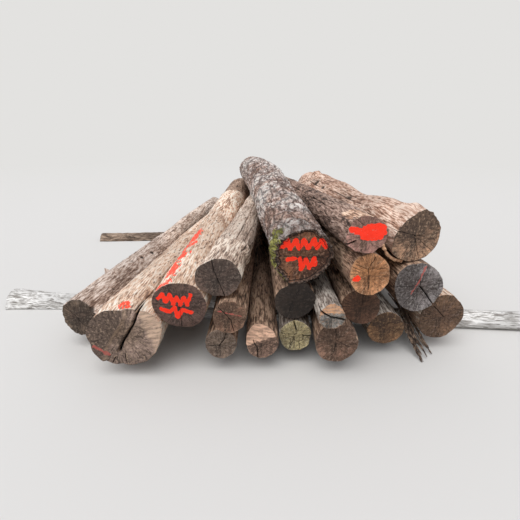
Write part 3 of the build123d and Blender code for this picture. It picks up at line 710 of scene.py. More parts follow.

# %% [markdown]
# The grid becomes a mesh in one go. Adding faces one by one would take minutes, so
# numpy lists each quad's corners and Blender takes whole arrays. What the shaders
# need to know travels with the points as attributes: where a point is in the
# straightened trunk, how much is bark, how deep it is in a crack (drawn as painted
# shade), and how much paint covers it.

# %% From grids to meshes


def closed_mesh(name, rows, front_pole, rear_pole, row_materials, attributes):
    """One closed skin: quads between neighbouring rows and a fan at either pole."""
    count, around = rows.shape[:2]
    points = np.concatenate([rows.reshape(-1, 3), front_pole[None], rear_pole[None]])
    grid = np.arange(count * around).reshape(count, around)
    after = np.roll(grid, -1, axis=1)
    quads = np.stack([grid[:-1], grid[1:], after[1:], after[:-1]], -1).reshape(-1, 4)
    first = np.stack([grid[0], after[0], np.full(around, count * around)], -1)
    last = np.stack([after[-1], grid[-1], np.full(around, count * around + 1)], -1)
    loops = np.concatenate([quads.ravel(), first.ravel(), last.ravel()])
    sizes = np.concatenate([np.full(len(quads), 4), np.full(2 * around, 3)])
    materials = np.concatenate([np.repeat(row_materials, around), np.full(2 * around, 0)])
    materials[len(quads):len(quads) + around] = row_materials[0]
    materials[len(quads) + around:] = row_materials[-1]
    mesh = bpy.data.meshes.new(name)
    mesh.vertices.add(len(points))
    mesh.vertices.foreach_set("co", points.ravel())
    mesh.loops.add(len(loops))
    mesh.loops.foreach_set("vertex_index", loops.astype(np.int32))
    mesh.polygons.add(len(sizes))
    starts = np.concatenate([[0], np.cumsum(sizes)[:-1]])
    mesh.polygons.foreach_set("loop_start", starts.astype(np.int32))
    mesh.polygons.foreach_set("material_index", materials.astype(np.int32))
    mesh.polygons.foreach_set("use_smooth", np.ones(len(sizes), bool))
    mesh.update(calc_edges=True)
    for key, (values, front_value, rear_value) in attributes.items():
        vector = values.ndim == 3
        layer = mesh.attributes.new(key, "FLOAT_VECTOR" if vector else "FLOAT", "POINT")
        ends = np.array([front_value, rear_value]).reshape(2, -1)
        flat = np.concatenate([values.reshape(count * around, -1), ends])
        layer.data.foreach_set("vector" if vector else "value", flat.ravel().astype(np.float32))
    piece = bpy.data.objects.new(name, mesh)
    bpy.context.scene.collection.objects.link(piece)
    return piece


print("triangles of a skin with 270 rows of 192 points:", 2 * 192 * 270)

# %% [markdown]
# A whole log is one closed skin: rings of the sawn end from its middle outwards,
# over the rounded rim onto the trunk, along it, and in again on the rear end. Ends
# made as caps of their own would leave a seam where the light leaks in.

# %% One closed skin for a log
RIM_ROUND = 4 * MM        # rounding of the sawn edge
RIM_FADE = .12            # the rim's dents fade out along this much of the trunk, in metres
CRACK_SHADE_FADE = .15          # and so does the painted shade of the cracks that open at it
EDGE_LIGHT = 8 * MM       # pale splintered wood along the sawn edge, drawn wide enough to show


def dress_log(node, look, seed):
    """The dressed log: end rings, skin rows and rear rings, each a grid of x, y and z, joined."""
    skip = look.step[1] * MM if look.step else look.bevel[2] * MM if look.bevel else 0
    form = read_form(node, (0, 1, 0), skip, max([deep * MM for _, _, deep in look.rear], default=0))
    directions = crowded_directions(look.around, crack_angles(look))
    distances = crowded_rows(form.length, look.along)
    around, along = np.meshgrid(directions, distances)
    relief, cover, torn = skin_relief(look, around, along, seed)
    base = form.radius(around, along) + broad_swell(look, around, along)
    radius = base + relief
    x, z = form.middle(along)
    skin_x, skin_z = x + radius * np.cos(around), z + radius * np.sin(around)
    mean, rear_mean = base[0].mean(), base[-1].mean()

    shares = np.linspace(0, 1, END_RINGS + 1)[1:][::-1] ** .9
    shares = np.concatenate([[1 - RIM_ROUND / mean * .3], shares[1:]])[:, None]
    end_x = shares * radius[0] * np.cos(directions)
    end_z = shares * radius[0] * np.sin(directions)
    depth, crack_shade, rind, torn_end = end_depth(look, end_x, end_z, shares + 0 * radius[0], mean, seed)
    stain = dark_sides_of_end(look, end_x, end_z, mean, seed)
    worn = .5 + noise(directions, shares, 7, .4, seed + 32)
    worn = worn + .5 * noise(directions, shares, 23, .4, seed + 33)
    edge_light = np.clip(worn, 0, .8) * np.exp(-((1 - shares) * mean / EDGE_LIGHT) ** 2)
    front_rows = form.place(x[0] + end_x, depth, z[0] + end_z)

    skin_y = along + np.exp(-distances[:, None] / RIM_FADE) * depth[0]
    skin_y[0] = skin_y[0] + RIM_ROUND
    limit = rear_reach(look, skin_x - x[-1], skin_z - z[-1], rear_mean, form.length)
    skin_rows = form.place(skin_x, np.minimum(skin_y, limit), skin_z)

    rear_shares = np.linspace(0, 1, REAR_RINGS + 1)[1:-1][::-1, None]
    rear_x = x[-1] + rear_shares * radius[-1] * np.cos(directions)
    rear_z = z[-1] + rear_shares * radius[-1] * np.sin(directions)
    rear_y = rear_reach(look, rear_x - x[-1], rear_z - z[-1], rear_mean, form.length)
    rear_rows = form.place(rear_x, rear_y, rear_z)

    zero_end, zero_skin, zero_rear = np.zeros(end_x.shape), np.zeros(along.shape), np.zeros(rear_x.shape)
    centre = np.zeros(1)
    centre_depth, centre_crack = end_depth(look, centre, centre, centre, mean, seed)[:2]
    flat_end = np.stack([end_x, zero_end, end_z], -1)
    straight = np.stack([base * np.cos(around), along, base * np.sin(around)], -1)
    flat_rear = np.stack([rear_x, zero_rear + form.length, rear_z], -1)
    covers = {  # what the points carry: on the sawn end, on the skin, and at the end's middle
        "bark": (rind, cover, 0),
        "torn": (torn_end, torn, 0),
        "stain": (stain, zero_skin, stain[-1].mean()),
        "edge": (edge_light, zero_skin, 0),
        "moss": (zero_end, moss_cover(look, around, along, seed), 0),
        # painted shade in the cracks, fading along the trunk from the rim
        "crack": (crack_shade, crack_shade[0] * np.exp(-distances[:, None] / CRACK_SHADE_FADE), centre_crack[0]),
        "paint": (marks_on_end(look.paint, end_x, end_z, mean, seed),
                  marks_on_trunk(look, around, along, base, seed), 0),
        "faded_paint": (marks_on_end(look.faded, end_x, end_z, mean, seed), zero_skin, 0),
        "relief": (zero_end, relief, 0),
    }
    grain = np.concatenate([flat_end[::-1], straight, flat_rear])
    attributes = {"grain": (grain, (0, 0, 0), (0, form.length, 0))}
    for key, (on_end, on_skin, middle) in covers.items():
        attributes[key] = (np.concatenate([on_end[::-1], on_skin, zero_rear]), middle, 0)

    rows = np.concatenate([front_rows[::-1], skin_rows, rear_rows])
    front_pole = form.place(x[0, :1], centre_depth, z[0, :1])[0]
    rear_pole = form.place(x[-1, :1], rear_reach(look, centre, centre, rear_mean, form.length), z[-1, :1])[0]
    bands = np.arange(len(rows) - 1)
    sawn = (bands < len(end_x)) | (bands >= len(end_x) + len(along) - 1)
    name = node.replace("_log", "_trunk")
    piece = closed_mesh(name, rows, front_pole, rear_pole, sawn.astype(int), attributes)
    for material in (look.trunk, look.end):
        piece.data.materials.append(MATERIALS[material])
    return piece


print("end rings:", END_RINGS, "rear rings:", REAR_RINGS)

# %% [markdown]
# Most logs have lost their bark and dried outdoors. Debarked hardwood keeps long
# fibres, mottled tan and grey patches and beetle holes, and its deep hollows and
# cracks get painted shade. A photograph wrapped round the trunk would stretch and
# show a seam, so the colour comes from noise in the straightened trunk, drawn out
# fourteen-fold along it. Thin layers are laid over it in turn: grime and paint, as
# on the real one, and painted shade.

# %% Bare trunk wood
FIBRE_WIDTH = 9 * MM      # coarser than real fibres, so that it shows
FIBRE_STRETCH = .07       # fibres are about fourteen times as long as wide
TRUNK_SPRAY = "#ff4222"
# painted shade: dark brown for hollows deeper than 8 mm
TRUNK_HOLLOW_SHADE = "#2a211b"
# painted shade: near black for the shade inside open cracks
TRUNK_CRACK_SHADE = "#140f0c"
PAINTED_GLOW_TINT = "#ff2a10"
PAINTED_GLOW_STRENGTH = .24          # painted glow: fresh paint emits red light of its own, for how bright fluorescent paint looks by day
MATERIALS = {}


def bare_wood(name, pale, tan, brown, dark, crust=("#2c241e", "#4a3b30", "#8a7a69"), paint_glows=False):
    """Debarked wood: mottled fibres, then worn areas, holes, splinters, bark, grime, painted shade in
    hollows, paint and painted shade in cracks in turn; fresh paint may get a painted glow.
    """
    material, tree, output = new_material(name)
    grain = add(tree, "Attribute", attribute_name="grain").outputs["Vector"]
    relief, bark, torn, paint, crack = [add(tree, "Attribute", attribute_name=key).outputs["Fac"]
                                        for key in ("relief", "bark", "torn", "paint", "crack")]
    long_way, patch_way, fleck_way = [
        add(tree, "Mapping", {"Vector": grain, "Scale": (1, stretch, 1)}).outputs[0]
        for stretch in (FIBRE_STRETCH, .3, .13)]
    fibres = add(tree, "TexNoise", {"Vector": long_way, "Scale": .85 / FIBRE_WIDTH, "Detail": 4.0,
                                    "Roughness": .6, "Distortion": .4}).outputs[0]
    patches = add(tree, "TexNoise", {"Vector": patch_way, "Scale": 11.0, "Detail": 4.0,
                                     "Roughness": .65, "Distortion": .6}).outputs[0]
    wide = add(tree, "TexNoise", {"Vector": patch_way, "Scale": 3.2, "Detail": 2.0}).outputs[0]
    flecks = add(tree, "TexNoise", {"Vector": fleck_way, "Scale": 76.0, "Detail": 3.0,
                                    "Roughness": .65}).outputs[0]
    holes = add(tree, "TexVoronoi", {"Vector": patch_way, "Scale": 34.0}).outputs[0]
    fine = add(tree, "Mix", {0: .55, 2: fibres, 3: flecks}).outputs[0]
    tone = add(tree, "Mix", {0: .7, 2: patches, 3: fine}).outputs[0]
    crumbs = add(tree, "Mix", {0: .6, 2: patches, 3: flecks}).outputs[0]
    colour, splinter, plates = [
        add(tree, "ValToRGB", {0: value}, stops=stops).outputs[0] for value, stops in (
            (tone, ((.42, dark), (.465, brown), (.5, tan), (.545, pale))),
            (fibres, ((.38, brown), (.46, tan), (.54, pale))),
            (crumbs, tuple(zip((.42, .5, .58), crust))))]
    even, eaten, hole, grime, hollow_shade, worn, split = [
        add(tree, "MapRange", dict(enumerate(row))).outputs[0] for row in (
            (wide, .45, .62, 0.0, .35),         # areas rubbed even
            (wide, .44, .54, .1, .85),          # areas where beetles lived
            (holes, .2, .3, 1.0, 0.0),          # their holes
            (wide, .38, .58, 1.12, .8),         # grime over wide areas
            (relief, -.008, -.018, 0.0, .9),    # painted shade in hollows deeper than 8 mm
            (flecks, .39, .49, 0.0, 1.0),       # where the spray hasn't worn off
            (crack, .25, .6, 0.0, 1.0))]        # painted shade in open cracks
    hole = add(tree, "Math", {0: hole, 1: eaten}, operation="MULTIPLY").outputs[0]
    sprayed = add(tree, "Math", {0: paint, 1: worn}, operation="MULTIPLY").outputs[0]
    sprayed = add(tree, "MapRange", {0: sprayed, 1: .15, 2: .4, 3: 0.0, 4: .93}).outputs[0]
    for share, over in ((even, linear(tan)), (hole, linear(dark)), (torn, splinter), (bark, plates)):
        colour = add(tree, "Mix", {0: share, 6: colour, 7: over}, data_type="RGBA").outputs[2]
    grime = add(tree, "CombineXYZ", {0: grime, 1: grime, 2: grime}).outputs[0]
    colour = add(tree, "Mix", {0: 1.0, 6: colour, 7: grime}, data_type="RGBA",
                 blend_type="MULTIPLY").outputs[2]
    # painted shade in hollows, paint, then painted shade in cracks
    for share, over in ((hollow_shade, TRUNK_HOLLOW_SHADE), (sprayed, TRUNK_SPRAY), (split, TRUNK_CRACK_SHADE)):
        colour = add(tree, "Mix", {0: share, 6: colour, 7: linear(over)}, data_type="RGBA").outputs[2]
    bump = add(tree, "Bump", {"Height": fine, "Strength": 1.0, "Distance": .02}).outputs[0]
    bump = add(tree, "Bump", {"Height": patches, "Strength": .6, "Distance": .015, "Normal": bump}).outputs[0]
    shader = add(tree, "BsdfPrincipled", {"Base Color": colour, "Roughness": .84, "Normal": bump})
    # painted glow: where fresh paint covers the wood, it emits red light of its own
    if paint_glows:
        painted_glow = add(tree, "Math", {0: sprayed, 1: PAINTED_GLOW_STRENGTH}, operation="MULTIPLY").outputs[0]
        shader.inputs["Emission Color"].default_value = linear(PAINTED_GLOW_TINT)
        tree.links.new(painted_glow, shader.inputs["Emission Strength"])
    tree.links.new(shader.outputs[0], output.inputs[0])
    MATERIALS[name] = material


print("a recipe for bare wood, fibres", round(FIBRE_WIDTH * 1000), "mm wide")

# %% [markdown]
# The same wood looks different by what it went through, so each kind of trunk has
# colours of its own: pale fibre, wood, grain, deep grain. One slider for age would
# be shorter, but some trunks went grey and others brown, so they are given one by one.

# %% Kinds of bare trunk
# Hardwood long debarked and rubbed smooth by hauling: pale and silky, tan between the fibres.
bare_wood("smooth_trunk_wood", "#fff5e6", "#f1cfb4", "#c9a085", "#806252",
          ("#594539", "#a2846f", "#c5aa96"), paint_glows=True)
# The same wood bleached by the sun: cream, with soft grey-brown grain.
bare_wood("cream_trunk_wood", "#fdeedd", "#d8beab", "#ac917f", "#625044")
# Sapwood gone soft under rotten bark: a crumbly pale crust over dull wood.
bare_wood("rotten_trunk_wood", "#f8e8da", "#cfb5a3", "#a38876", "#665042", ("#7d6557", "#c9b0a0", "#f4e4d8"))
# Debarked trunks inside the heap: brown wood, made darker and lower in contrast as painted shade for the
# shade of the heap.
bare_wood("shaded_brown_trunk_wood", "#cfae93", "#977863", "#705746", "#3f3026")
# Wood that died standing, long before felling: rain has silvered its fibres to a cool grey.
bare_wood("grey_trunk_wood", "#cfc6bb", "#a0948a", "#75695f", "#3d352f")
# Stripped last of all, with inner bark still on it: salmon over tan.
bare_wood("orange_trunk_wood", "#fde3d0", "#d5ac95", "#ab8069", "#6b4d3c")
# Torn by the debarking blade: reddish shreds of inner bark with dark seams.
bare_wood("scribbled_trunk", "#f6d8be", "#d0a388", "#9c775f", "#5c4334", ("#3c2d26", "#917465", "#cdb0a0"))
print("bare wood materials:", len(MATERIALS))

# %% [markdown]
# Bark is dead cork: deep furrows between scaly plates, dark brown in the furrows,
# ash brown on the plates, and moss where it stays damp. Plates could be modelled
# one by one, but a trunk has hundreds. The coarse ones are relief in the mesh, and
# the shader adds narrower furrows, grit and colour in layers.

# %% Bark
BARK_PLATES = 13.0        # plates of about 77 mm, twice as coarse as real ones, so that they show
FLAKED_CORK = ((.4, "#6a4a3c"), (.5, "#bd937e"), (.6, "#ecc9b5"))
LICHEN = ((.4, "#7d726c"), (.52, "#cfc6c0"), (.6, "#e6e0db"))
MOSS = ((.4, "#3d3c17"), (.49, "#7d7c36"), (.58, "#bfba6c"))


def bark_cork(name, furrow, cork, ash):
    """Crusty bark: colour by relief and grit, then flaked areas, lichen, furrows, darkening near the sawn end
    (dark crust and painted shade), moss and painted shade in cracks in turn.
    """
    material, tree, output = new_material(name)
    grain = add(tree, "Attribute", attribute_name="grain").outputs["Vector"]
    relief, crack, moss = [add(tree, "Attribute", attribute_name=key).outputs["Fac"]
                           for key in ("relief", "crack", "moss")]
    long_way = add(tree, "Mapping", {"Vector": grain, "Scale": (1, .55, 1)}).outputs[0]
    flakes = add(tree, "TexNoise", {"Vector": long_way, "Scale": 17.0, "Detail": 6.0, "Roughness": .72,
                                    "Distortion": .9}).outputs[0]
    grit = add(tree, "TexNoise", {"Vector": long_way, "Scale": 52.0, "Detail": 4.0,
                                  "Roughness": .7}).outputs[0]
    patches = add(tree, "TexNoise", {"Vector": grain, "Scale": 5.0, "Detail": 4.0}).outputs[0]
    warp = add(tree, "TexNoise", {"Vector": grain, "Scale": 16.0, "Detail": 4.0}).outputs[1]
    warp = add(tree, "VectorMath", {0: warp, 1: (.07, .07, .07)}, operation="MULTIPLY").outputs[0]
    warp = add(tree, "VectorMath", {0: long_way, 1: warp}, operation="ADD").outputs[0]
    plates = add(tree, "TexVoronoi", {"Vector": warp, "Scale": BARK_PLATES},
                 feature="DISTANCE_TO_EDGE").outputs[0]
    place = add(tree, "SeparateXYZ", {0: grain}).outputs[1]
    furrows, height, flaked, crusted, crust_and_shade_near_end, growing, split = [
        add(tree, "MapRange", dict(enumerate(row))).outputs[0] for row in (
            (plates, 0.0, .15, .85, 0.0),       # furrows between the plates
            (relief, -.014, .014, 0.0, 1.0),    # from the mesh's hollows to its ridges
            (patches, .49, .6, 0.0, .7),        # where the outer cork has flaked off
            (patches, .36, .29, 0.0, .6),       # crusts of lichen
            (place, .5, 0.0, 1.06, .56),        # darker in the half metre behind the sawn end: the bark's own dark crust, and painted shade
            (grit, .36, .44, 0.0, 1.0),         # gaps in the moss
            (crack, .25, .6, 0.0, 1.0))]        # painted shade in open cracks
    crust = add(tree, "Mix", {0: .55, 2: flakes, 3: grit}).outputs[0]
    tone = add(tree, "Mix", {0: .14, 2: crust, 3: height}).outputs[0]
    mossy = add(tree, "Math", {0: moss, 1: growing}, operation="MULTIPLY").outputs[0]
    colour, rusty, dusty, green = [
        add(tree, "ValToRGB", {0: value}, stops=stops).outputs[0] for value, stops in (
            (tone, ((.425, furrow), (.485, cork), (.565, ash))),
            (crust, FLAKED_CORK), (crust, LICHEN), (grit, MOSS))]
    for share, over in ((flaked, rusty), (crusted, dusty), (furrows, linear(furrow))):
        colour = add(tree, "Mix", {0: share, 6: colour, 7: over}, data_type="RGBA").outputs[2]
    crust_and_shade_near_end = add(tree, "CombineXYZ", {0: crust_and_shade_near_end, 1: crust_and_shade_near_end, 2: crust_and_shade_near_end}).outputs[0]
    colour = add(tree, "Mix", {0: 1.0, 6: colour, 7: crust_and_shade_near_end}, data_type="RGBA",
                 blend_type="MULTIPLY").outputs[2]
    # moss, then painted shade in the open cracks
    for share, over in ((mossy, green), (split, linear(TRUNK_CRACK_SHADE))):
        colour = add(tree, "Mix", {0: share, 6: colour, 7: over}, data_type="RGBA").outputs[2]
    bump = add(tree, "Bump", {"Height": flakes, "Strength": 1.0, "Distance": .05}).outputs[0]
    bump = add(tree, "Bump", {"Height": grit, "Strength": 1.0, "Distance": .02, "Normal": bump}).outputs[0]
    bump = add(tree, "Bump", {"Height": furrows, "Strength": 1.0, "Distance": -.012,
                              "Normal": bump}).outputs[0]
    shader = add(tree, "BsdfPrincipled", {"Base Color": colour, "Roughness": .93, "Normal": bump})
    tree.links.new(shader.outputs[0], output.inputs[0])
    MATERIALS[name] = material


# Thick cork bark, split as the trunk grew and then dried: rough, dull, ash grey over dark furrows.
bark_cork("rough_bark", "#54423a", "#ceb3a8", "#fff6ef")
print("bark materials ready, plates of", round(1000 / BARK_PLATES), "mm")

# %% [markdown]
# A sawn end that has stood in the weather: the heart darker, growth rings as
# faint circles, fine star checks, mud rubbed across it and streaks where the saw
# ran. Spray paint sits on top and misses the deepest pores. Rings could be drawn
# as circles, but real ones wander, so a wave texture about the pith is distorted.
# One recipe makes each log's end with its own colours, paints shade into its open
# cracks, and puts a painted glow on fresh paint where the row asks for it.

# %% Sawn ends
RING_WIDTH = 8 * MM       # drawn three times coarser than real growth rings
RINGS_PER_UNIT = 2 * pi / 20    # the wave texture's own factor: this scale gives a ring each metre
END_SPRAY = "#ff3314"
OLD_SPRAY = "#c8635a"     # last year's paint, bleached to pink
PORE_DARK = "#2c211b"
# painted shade: near black for the shade inside open cracks on the end
END_CRACK_SHADE = "#0f0b09"
RIND_CORK = ((.42, "#1d1511"), (.52, "#46352c"), (.62, "#8f7b6c"))


def sawn_end(name, pale, heart, dirt, dirt_share, splinter, tilt, paint_glows=False):
    """Sawn wood: heart to sapwood, streaked by spokes, then edge, rings, dirt and darker sides, checks,
    paint, rind and painted shade in cracks in turn; fresh paint may get a painted glow.
    """
    material, tree, output = new_material(name)
    grain = add(tree, "Attribute", attribute_name="grain").outputs["Vector"]
    crack, paint, faded, torn, edge, stain, rind = [
        add(tree, "Attribute", attribute_name=key).outputs["Fac"]
        for key in ("crack", "paint", "faded_paint", "torn", "edge", "stain", "bark")]
    reach = add(tree, "VectorMath", {0: grain}, operation="LENGTH").outputs["Value"]
    outward = add(tree, "VectorMath", {0: grain}, operation="NORMALIZE").outputs[0]
    outward = add(tree, "VectorMath", {0: grain, 1: outward}, operation="ADD").outputs[0]
    saw_way = add(tree, "Mapping", {"Vector": grain, "Rotation": (0, radians(tilt), 0),
                                    "Scale": (5, 1, 30)}).outputs[0]
    rings = add(tree, "TexWave", {"Vector": grain, "Scale": RINGS_PER_UNIT / RING_WIDTH, "Distortion": 5.0,
                                  "Detail": 3.0, "Detail Scale": 1.6}, wave_type="RINGS",
                rings_direction="Y").outputs[1]
    spokes, grit, patches, saw, sector, hair = [add(tree, "TexNoise", {
        "Vector": way, "Scale": scale, "Detail": detail, "Roughness": rough}).outputs[0]
        for way, scale, detail, rough in (
            (outward, 7.0, 6.0, .78), (grain, 55.0, 4.0, .7), (grain, 12.0, 5.0, .65),
            (saw_way, 2.5, 3.0, .5), (grain, 4.5, 3.0, .5), (outward, 3.0, 3.0, .6))]
    flecks = add(tree, "Mix", {0: .5, 2: grit, 3: spokes}).outputs[0]
    core = add(tree, "Math", {0: reach, 1: sector}, operation="MULTIPLY").outputs[0]
    hair = add(tree, "Math", {0: hair, 1: .5}, operation="SUBTRACT").outputs[0]
    hair = add(tree, "Math", {0: hair}, operation="ABSOLUTE").outputs[0]
    core, streak, ringed, sawn, rubbed, specks, hair, scuffs, raw, soaked, thin, split = [
        add(tree, "MapRange", dict(enumerate(row))).outputs[0] for row in (
            (core, .02, .075, 0.0, 1.0),        # from heartwood to sapwood, more in some directions
            (spokes, .42, .6, .4, 2.3),         # light and dark streaks outwards
            (rings, .2, .8, 0.0, .4),           # late wood of the rings
            (saw, .46, .62, 0.0, .3),           # dirt in the saw's streaks
            (patches, .62 - .35 * dirt_share, .78 - .35 * dirt_share, 0.0, 1.0),  # rubbed-on mud
            (flecks, .52, .6, 0.0, .7),         # pores
            (hair, .006, .02, .7, 0.0),         # checks as fine as a hair
            (flecks, .48, .4, 0.0, .55),        # scuffs
            (saw, .4, .58, 1.0, .35),           # splintered wood between the streaks
            (grit, .3, .42, 0.0, 1.0),          # pores that paint misses
            (faded, .35, .65, 0.0, .75),        # old paint worn thin
            (crack, .3, .7, 0.0, 1.0))]         # painted shade in open cracks
    rubbed = add(tree, "Math", {0: rubbed, 1: .8}, operation="MULTIPLY").outputs[0]
    # the darker sides of the face take the dirt colour as well
    rubbed = add(tree, "Math", {0: rubbed, 1: stain}, operation="MAXIMUM").outputs[0]
    raw = add(tree, "Math", {0: raw, 1: torn}, operation="MULTIPLY").outputs[0]
    fresh = add(tree, "Math", {0: paint, 1: soaked}, operation="MULTIPLY").outputs[0]
    fresh = add(tree, "MapRange", {0: fresh, 1: .35, 2: .6, 3: 0.0, 4: .94}).outputs[0]
    cork = add(tree, "ValToRGB", {0: grit}, stops=RIND_CORK).outputs[0]
    colour = add(tree, "Mix", {0: core, 6: linear(heart), 7: linear(pale)}, data_type="RGBA").outputs[2]
    streak = add(tree, "CombineXYZ", {0: streak, 1: streak, 2: streak}).outputs[0]
    colour = add(tree, "Mix", {0: 1.0, 6: colour, 7: streak}, data_type="RGBA",
                 blend_type="MULTIPLY").outputs[2]
    for share, over in ((edge, splinter), (ringed, heart), (sawn, dirt), (rubbed, dirt), (specks, PORE_DARK),
                        (hair, PORE_DARK), (scuffs, splinter), (raw, splinter), (fresh, END_SPRAY),
                        (thin, OLD_SPRAY)):
        colour = add(tree, "Mix", {0: share, 6: colour, 7: linear(over)}, data_type="RGBA").outputs[2]
    # the rind, then painted shade in the open cracks
    for share, over in ((rind, cork), (split, linear(END_CRACK_SHADE))):
        colour = add(tree, "Mix", {0: share, 6: colour, 7: over}, data_type="RGBA").outputs[2]
    bump = add(tree, "Bump", {"Height": rings, "Strength": .3, "Distance": .004}).outputs[0]
    bump = add(tree, "Bump", {"Height": flecks, "Strength": .8, "Distance": .01, "Normal": bump}).outputs[0]
    bump = add(tree, "Bump", {"Height": saw, "Strength": .3, "Distance": .005, "Normal": bump}).outputs[0]
    shader = add(tree, "BsdfPrincipled", {"Base Color": colour, "Roughness": .85, "Normal": bump})
    # painted glow: where fresh paint covers the end, it emits red light of its own
    if paint_glows:
        painted_glow = add(tree, "Math", {0: fresh, 1: PAINTED_GLOW_STRENGTH}, operation="MULTIPLY").outputs[0]
        shader.inputs["Emission Color"].default_value = linear(PAINTED_GLOW_TINT)
        tree.links.new(painted_glow, shader.inputs["Emission Strength"])
    tree.links.new(shader.outputs[0], output.inputs[0])
    MATERIALS[name] = material


print("a recipe for sawn ends, rings", round(RING_WIDTH * 1000), "mm wide")

# %% [markdown]
# All ends are hardwood cut across the grain by chain saw: open pores, dull, matte.
# Their age and place in the heap give the colour. Nineteen materials could be set
# up one by one, but they differ by a few values, so they are rows of a table.

# %% The nineteen sawn ends
# Each row: name, sapwood, heart, dirt (also the colour of the darker sides), share of dirt, splintered
# wood, direction of the saw's streaks in degrees, and whether its fresh paint gets a painted glow.
for end in (
        # felled in two cuts, washed by rain: pinkish grey, mud below
        ("big_left_end", "#a58d80", "#86705f", "#57483f", .4, "#dcbda3", 78),
        # soft rotten wood that soaks up water: dull and dark
        ("far_left_end", "#83705f", "#5c4c42", "#352b25", .6, "#a08e80", 30),
        # old cut browned by sun and rain: chocolate, low contrast
        ("left_cradled_end", "#6a5249", "#4e3d36", "#382c27", .4, "#94776c", 24, True),
        # old cut greyed on the shaded side
        ("bulged_end", "#6a564c", "#50423b", "#3b322d", .5, "#9b887b", -20),
        # younger cut, rubbed by a bark-brown neighbour
        ("left_middle_end", "#96705b", "#6c5040", "#46372c", .4, "#bd9a80", 70),
        # low in the heap, splashed with mud: grey beige
        ("left_floor_end", "#9c8474", "#786658", "#4e4037", .5, "#bda998", -40),
        # torn off in its upper half: pale splinters over a muddy cut
        ("notched_floor_end", "#96796a", "#735b4e", "#54433a", .5, "#ebbfa2", 15),
        # algae in the pores of a ring-shaken log: yellow green
        ("ring_shake_end", "#c6b78c", "#9a8c68", "#5e523e", .3, "#ece0bb", -15),
        # damp at the foot of the heap: warm brown
        ("brown_floor_end", "#9c7865", "#705545", "#4a3a2e", .5, "#c0a08c", 55),
        # grey rim about a golden brown heart
        ("grey_floor_end", "#9a7250", "#5c4432", "#40322a", .4, "#c19a72", -70),
        # sheltered cut, still brown
        ("far_right_end", "#84664f", "#634a3a", "#45362b", .4, "#a5897a", 35),
        # long dead wood, silver grey, with an orange split face above
        ("split_grey_end", "#a9a5a0", "#86827c", "#4d4843", .4, "#cd9a72", -8),
        # wet and full of black mould: nearly black
        ("dark_middle_end", "#3c322c", "#2a221d", "#1b1613", .5, "#5c5047", 80),
        # oily brown, worn by the weather to an even tone
        ("brown_ring_end", "#6a4b3a", "#4d3629", "#3a2a20", .35, "#7f604e", 40),
        # open to the rain: blue-grey skin over the brown
        ("dark_right_end", "#97908f", "#665c59", "#3c3431", .5, "#c9c0ba", -50),
        # the freshest cut: orange
        ("orange_end", "#d2986e", "#a8734a", "#70492f", .4, "#ebb98f", 65, True),
        # half in the rain: grey-brown above, tan below
        ("crooked_top_end", "#c39a7c", "#876a56", "#453932", .5, "#e3c0a0", -28),
        # sap has dried to a mauve brown
        ("scribbled_end", "#b4847a", "#8d6b5e", "#5e4a3c", .4, "#d2ab9a", 10, True),
        # under its bark rind the wood stays wet: red brown
        ("barked_top_end", "#946448", "#6c4630", "#38241d", .45, "#c79a7e", -12, True)):
    sawn_end(*end)
print("materials in all:", len(MATERIALS))

# %% [markdown]
# Now each log is dressed: its grid is worked out, its materials put on, and it is
# fixed to the heap's body while the node it replaces is hidden. All could be one
# mesh, but a log can be taken off the heap, so each stays a piece of its own with
# a seed of its own.

# %% Dress the logs
for seed, (node, look) in enumerate(LOOKS.items()):
    piece = dress_log(node, look, 40 * seed + 7)
    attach(piece, "root")
    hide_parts(node)
    print(piece.name, "faces:", len(piece.data.polygons))

# %% [markdown]
# The bearers and the thin pole have lain in sun and rain for years: bare, pale
# silver grey, split along the fibres. They could keep the construction model's
# plain solids, but those are too smooth. They are read from the frame as the logs
# are, with their axis across the heap, and are kept just above the floor.

# %% Bearers and pole
POLE_LOOK = Look("silver_wood", "silver_wood", "weathered_pole_wood", 56, 130, fibre=2.2, lumps=4,
                 checks=((80, -1, 9, 9, 8), (130, -1, 9, 8, 7), (50, -1, 9, 8, 7)))
FLOOR_GAP = .5 * MM
FULL_RELIEF = .09         # poles thinner than this radius, in metres, get less relief


def dress_pole(node, look, seed):
    """A pole or bearer: an even grid along X with the same closed skin."""
    form = read_form(node, (1, 0, 0))
    directions = np.linspace(0, 2 * pi, look.around, endpoint=False)
    distances = np.linspace(0, form.length, look.along)
    around, along = np.meshgrid(directions, distances)
    relief = skin_relief(look, around, along, seed)[0]
    base = form.radius(around, along)
    relief = relief * np.clip(base / FULL_RELIEF, .3, 1)
    x, z = form.middle(along)
    points = form.place(x + (base + relief) * np.cos(around), along, z + (base + relief) * np.sin(around))
    points[..., 2] = np.maximum(points[..., 2], FLOOR_GAP)
    poles = form.place(x[[0, -1], 0], along[[0, -1], 0], z[[0, -1], 0])
    straight = np.stack([base * np.cos(around), along, base * np.sin(around)], -1)
    attributes = {key: (np.zeros(along.shape), 0, 0) for key in ("bark", "torn", "crack", "paint")}
    attributes["grain"] = (straight, (0, 0, 0), (0, form.length, 0))
    attributes["relief"] = (relief, 0, 0)
    one_material = np.zeros(len(points) - 1, int)
    piece = closed_mesh(node + "_wood", points, poles[0], poles[1], one_material, attributes)
    piece.data.materials.append(MATERIALS[look.trunk])
    return piece


# Split hardwood, silvered by years of sun: only the grey outer fibres show.
bare_wood("silver_wood", "#fbf9f6", "#d6d3cf", "#b3afaa", "#87817b")
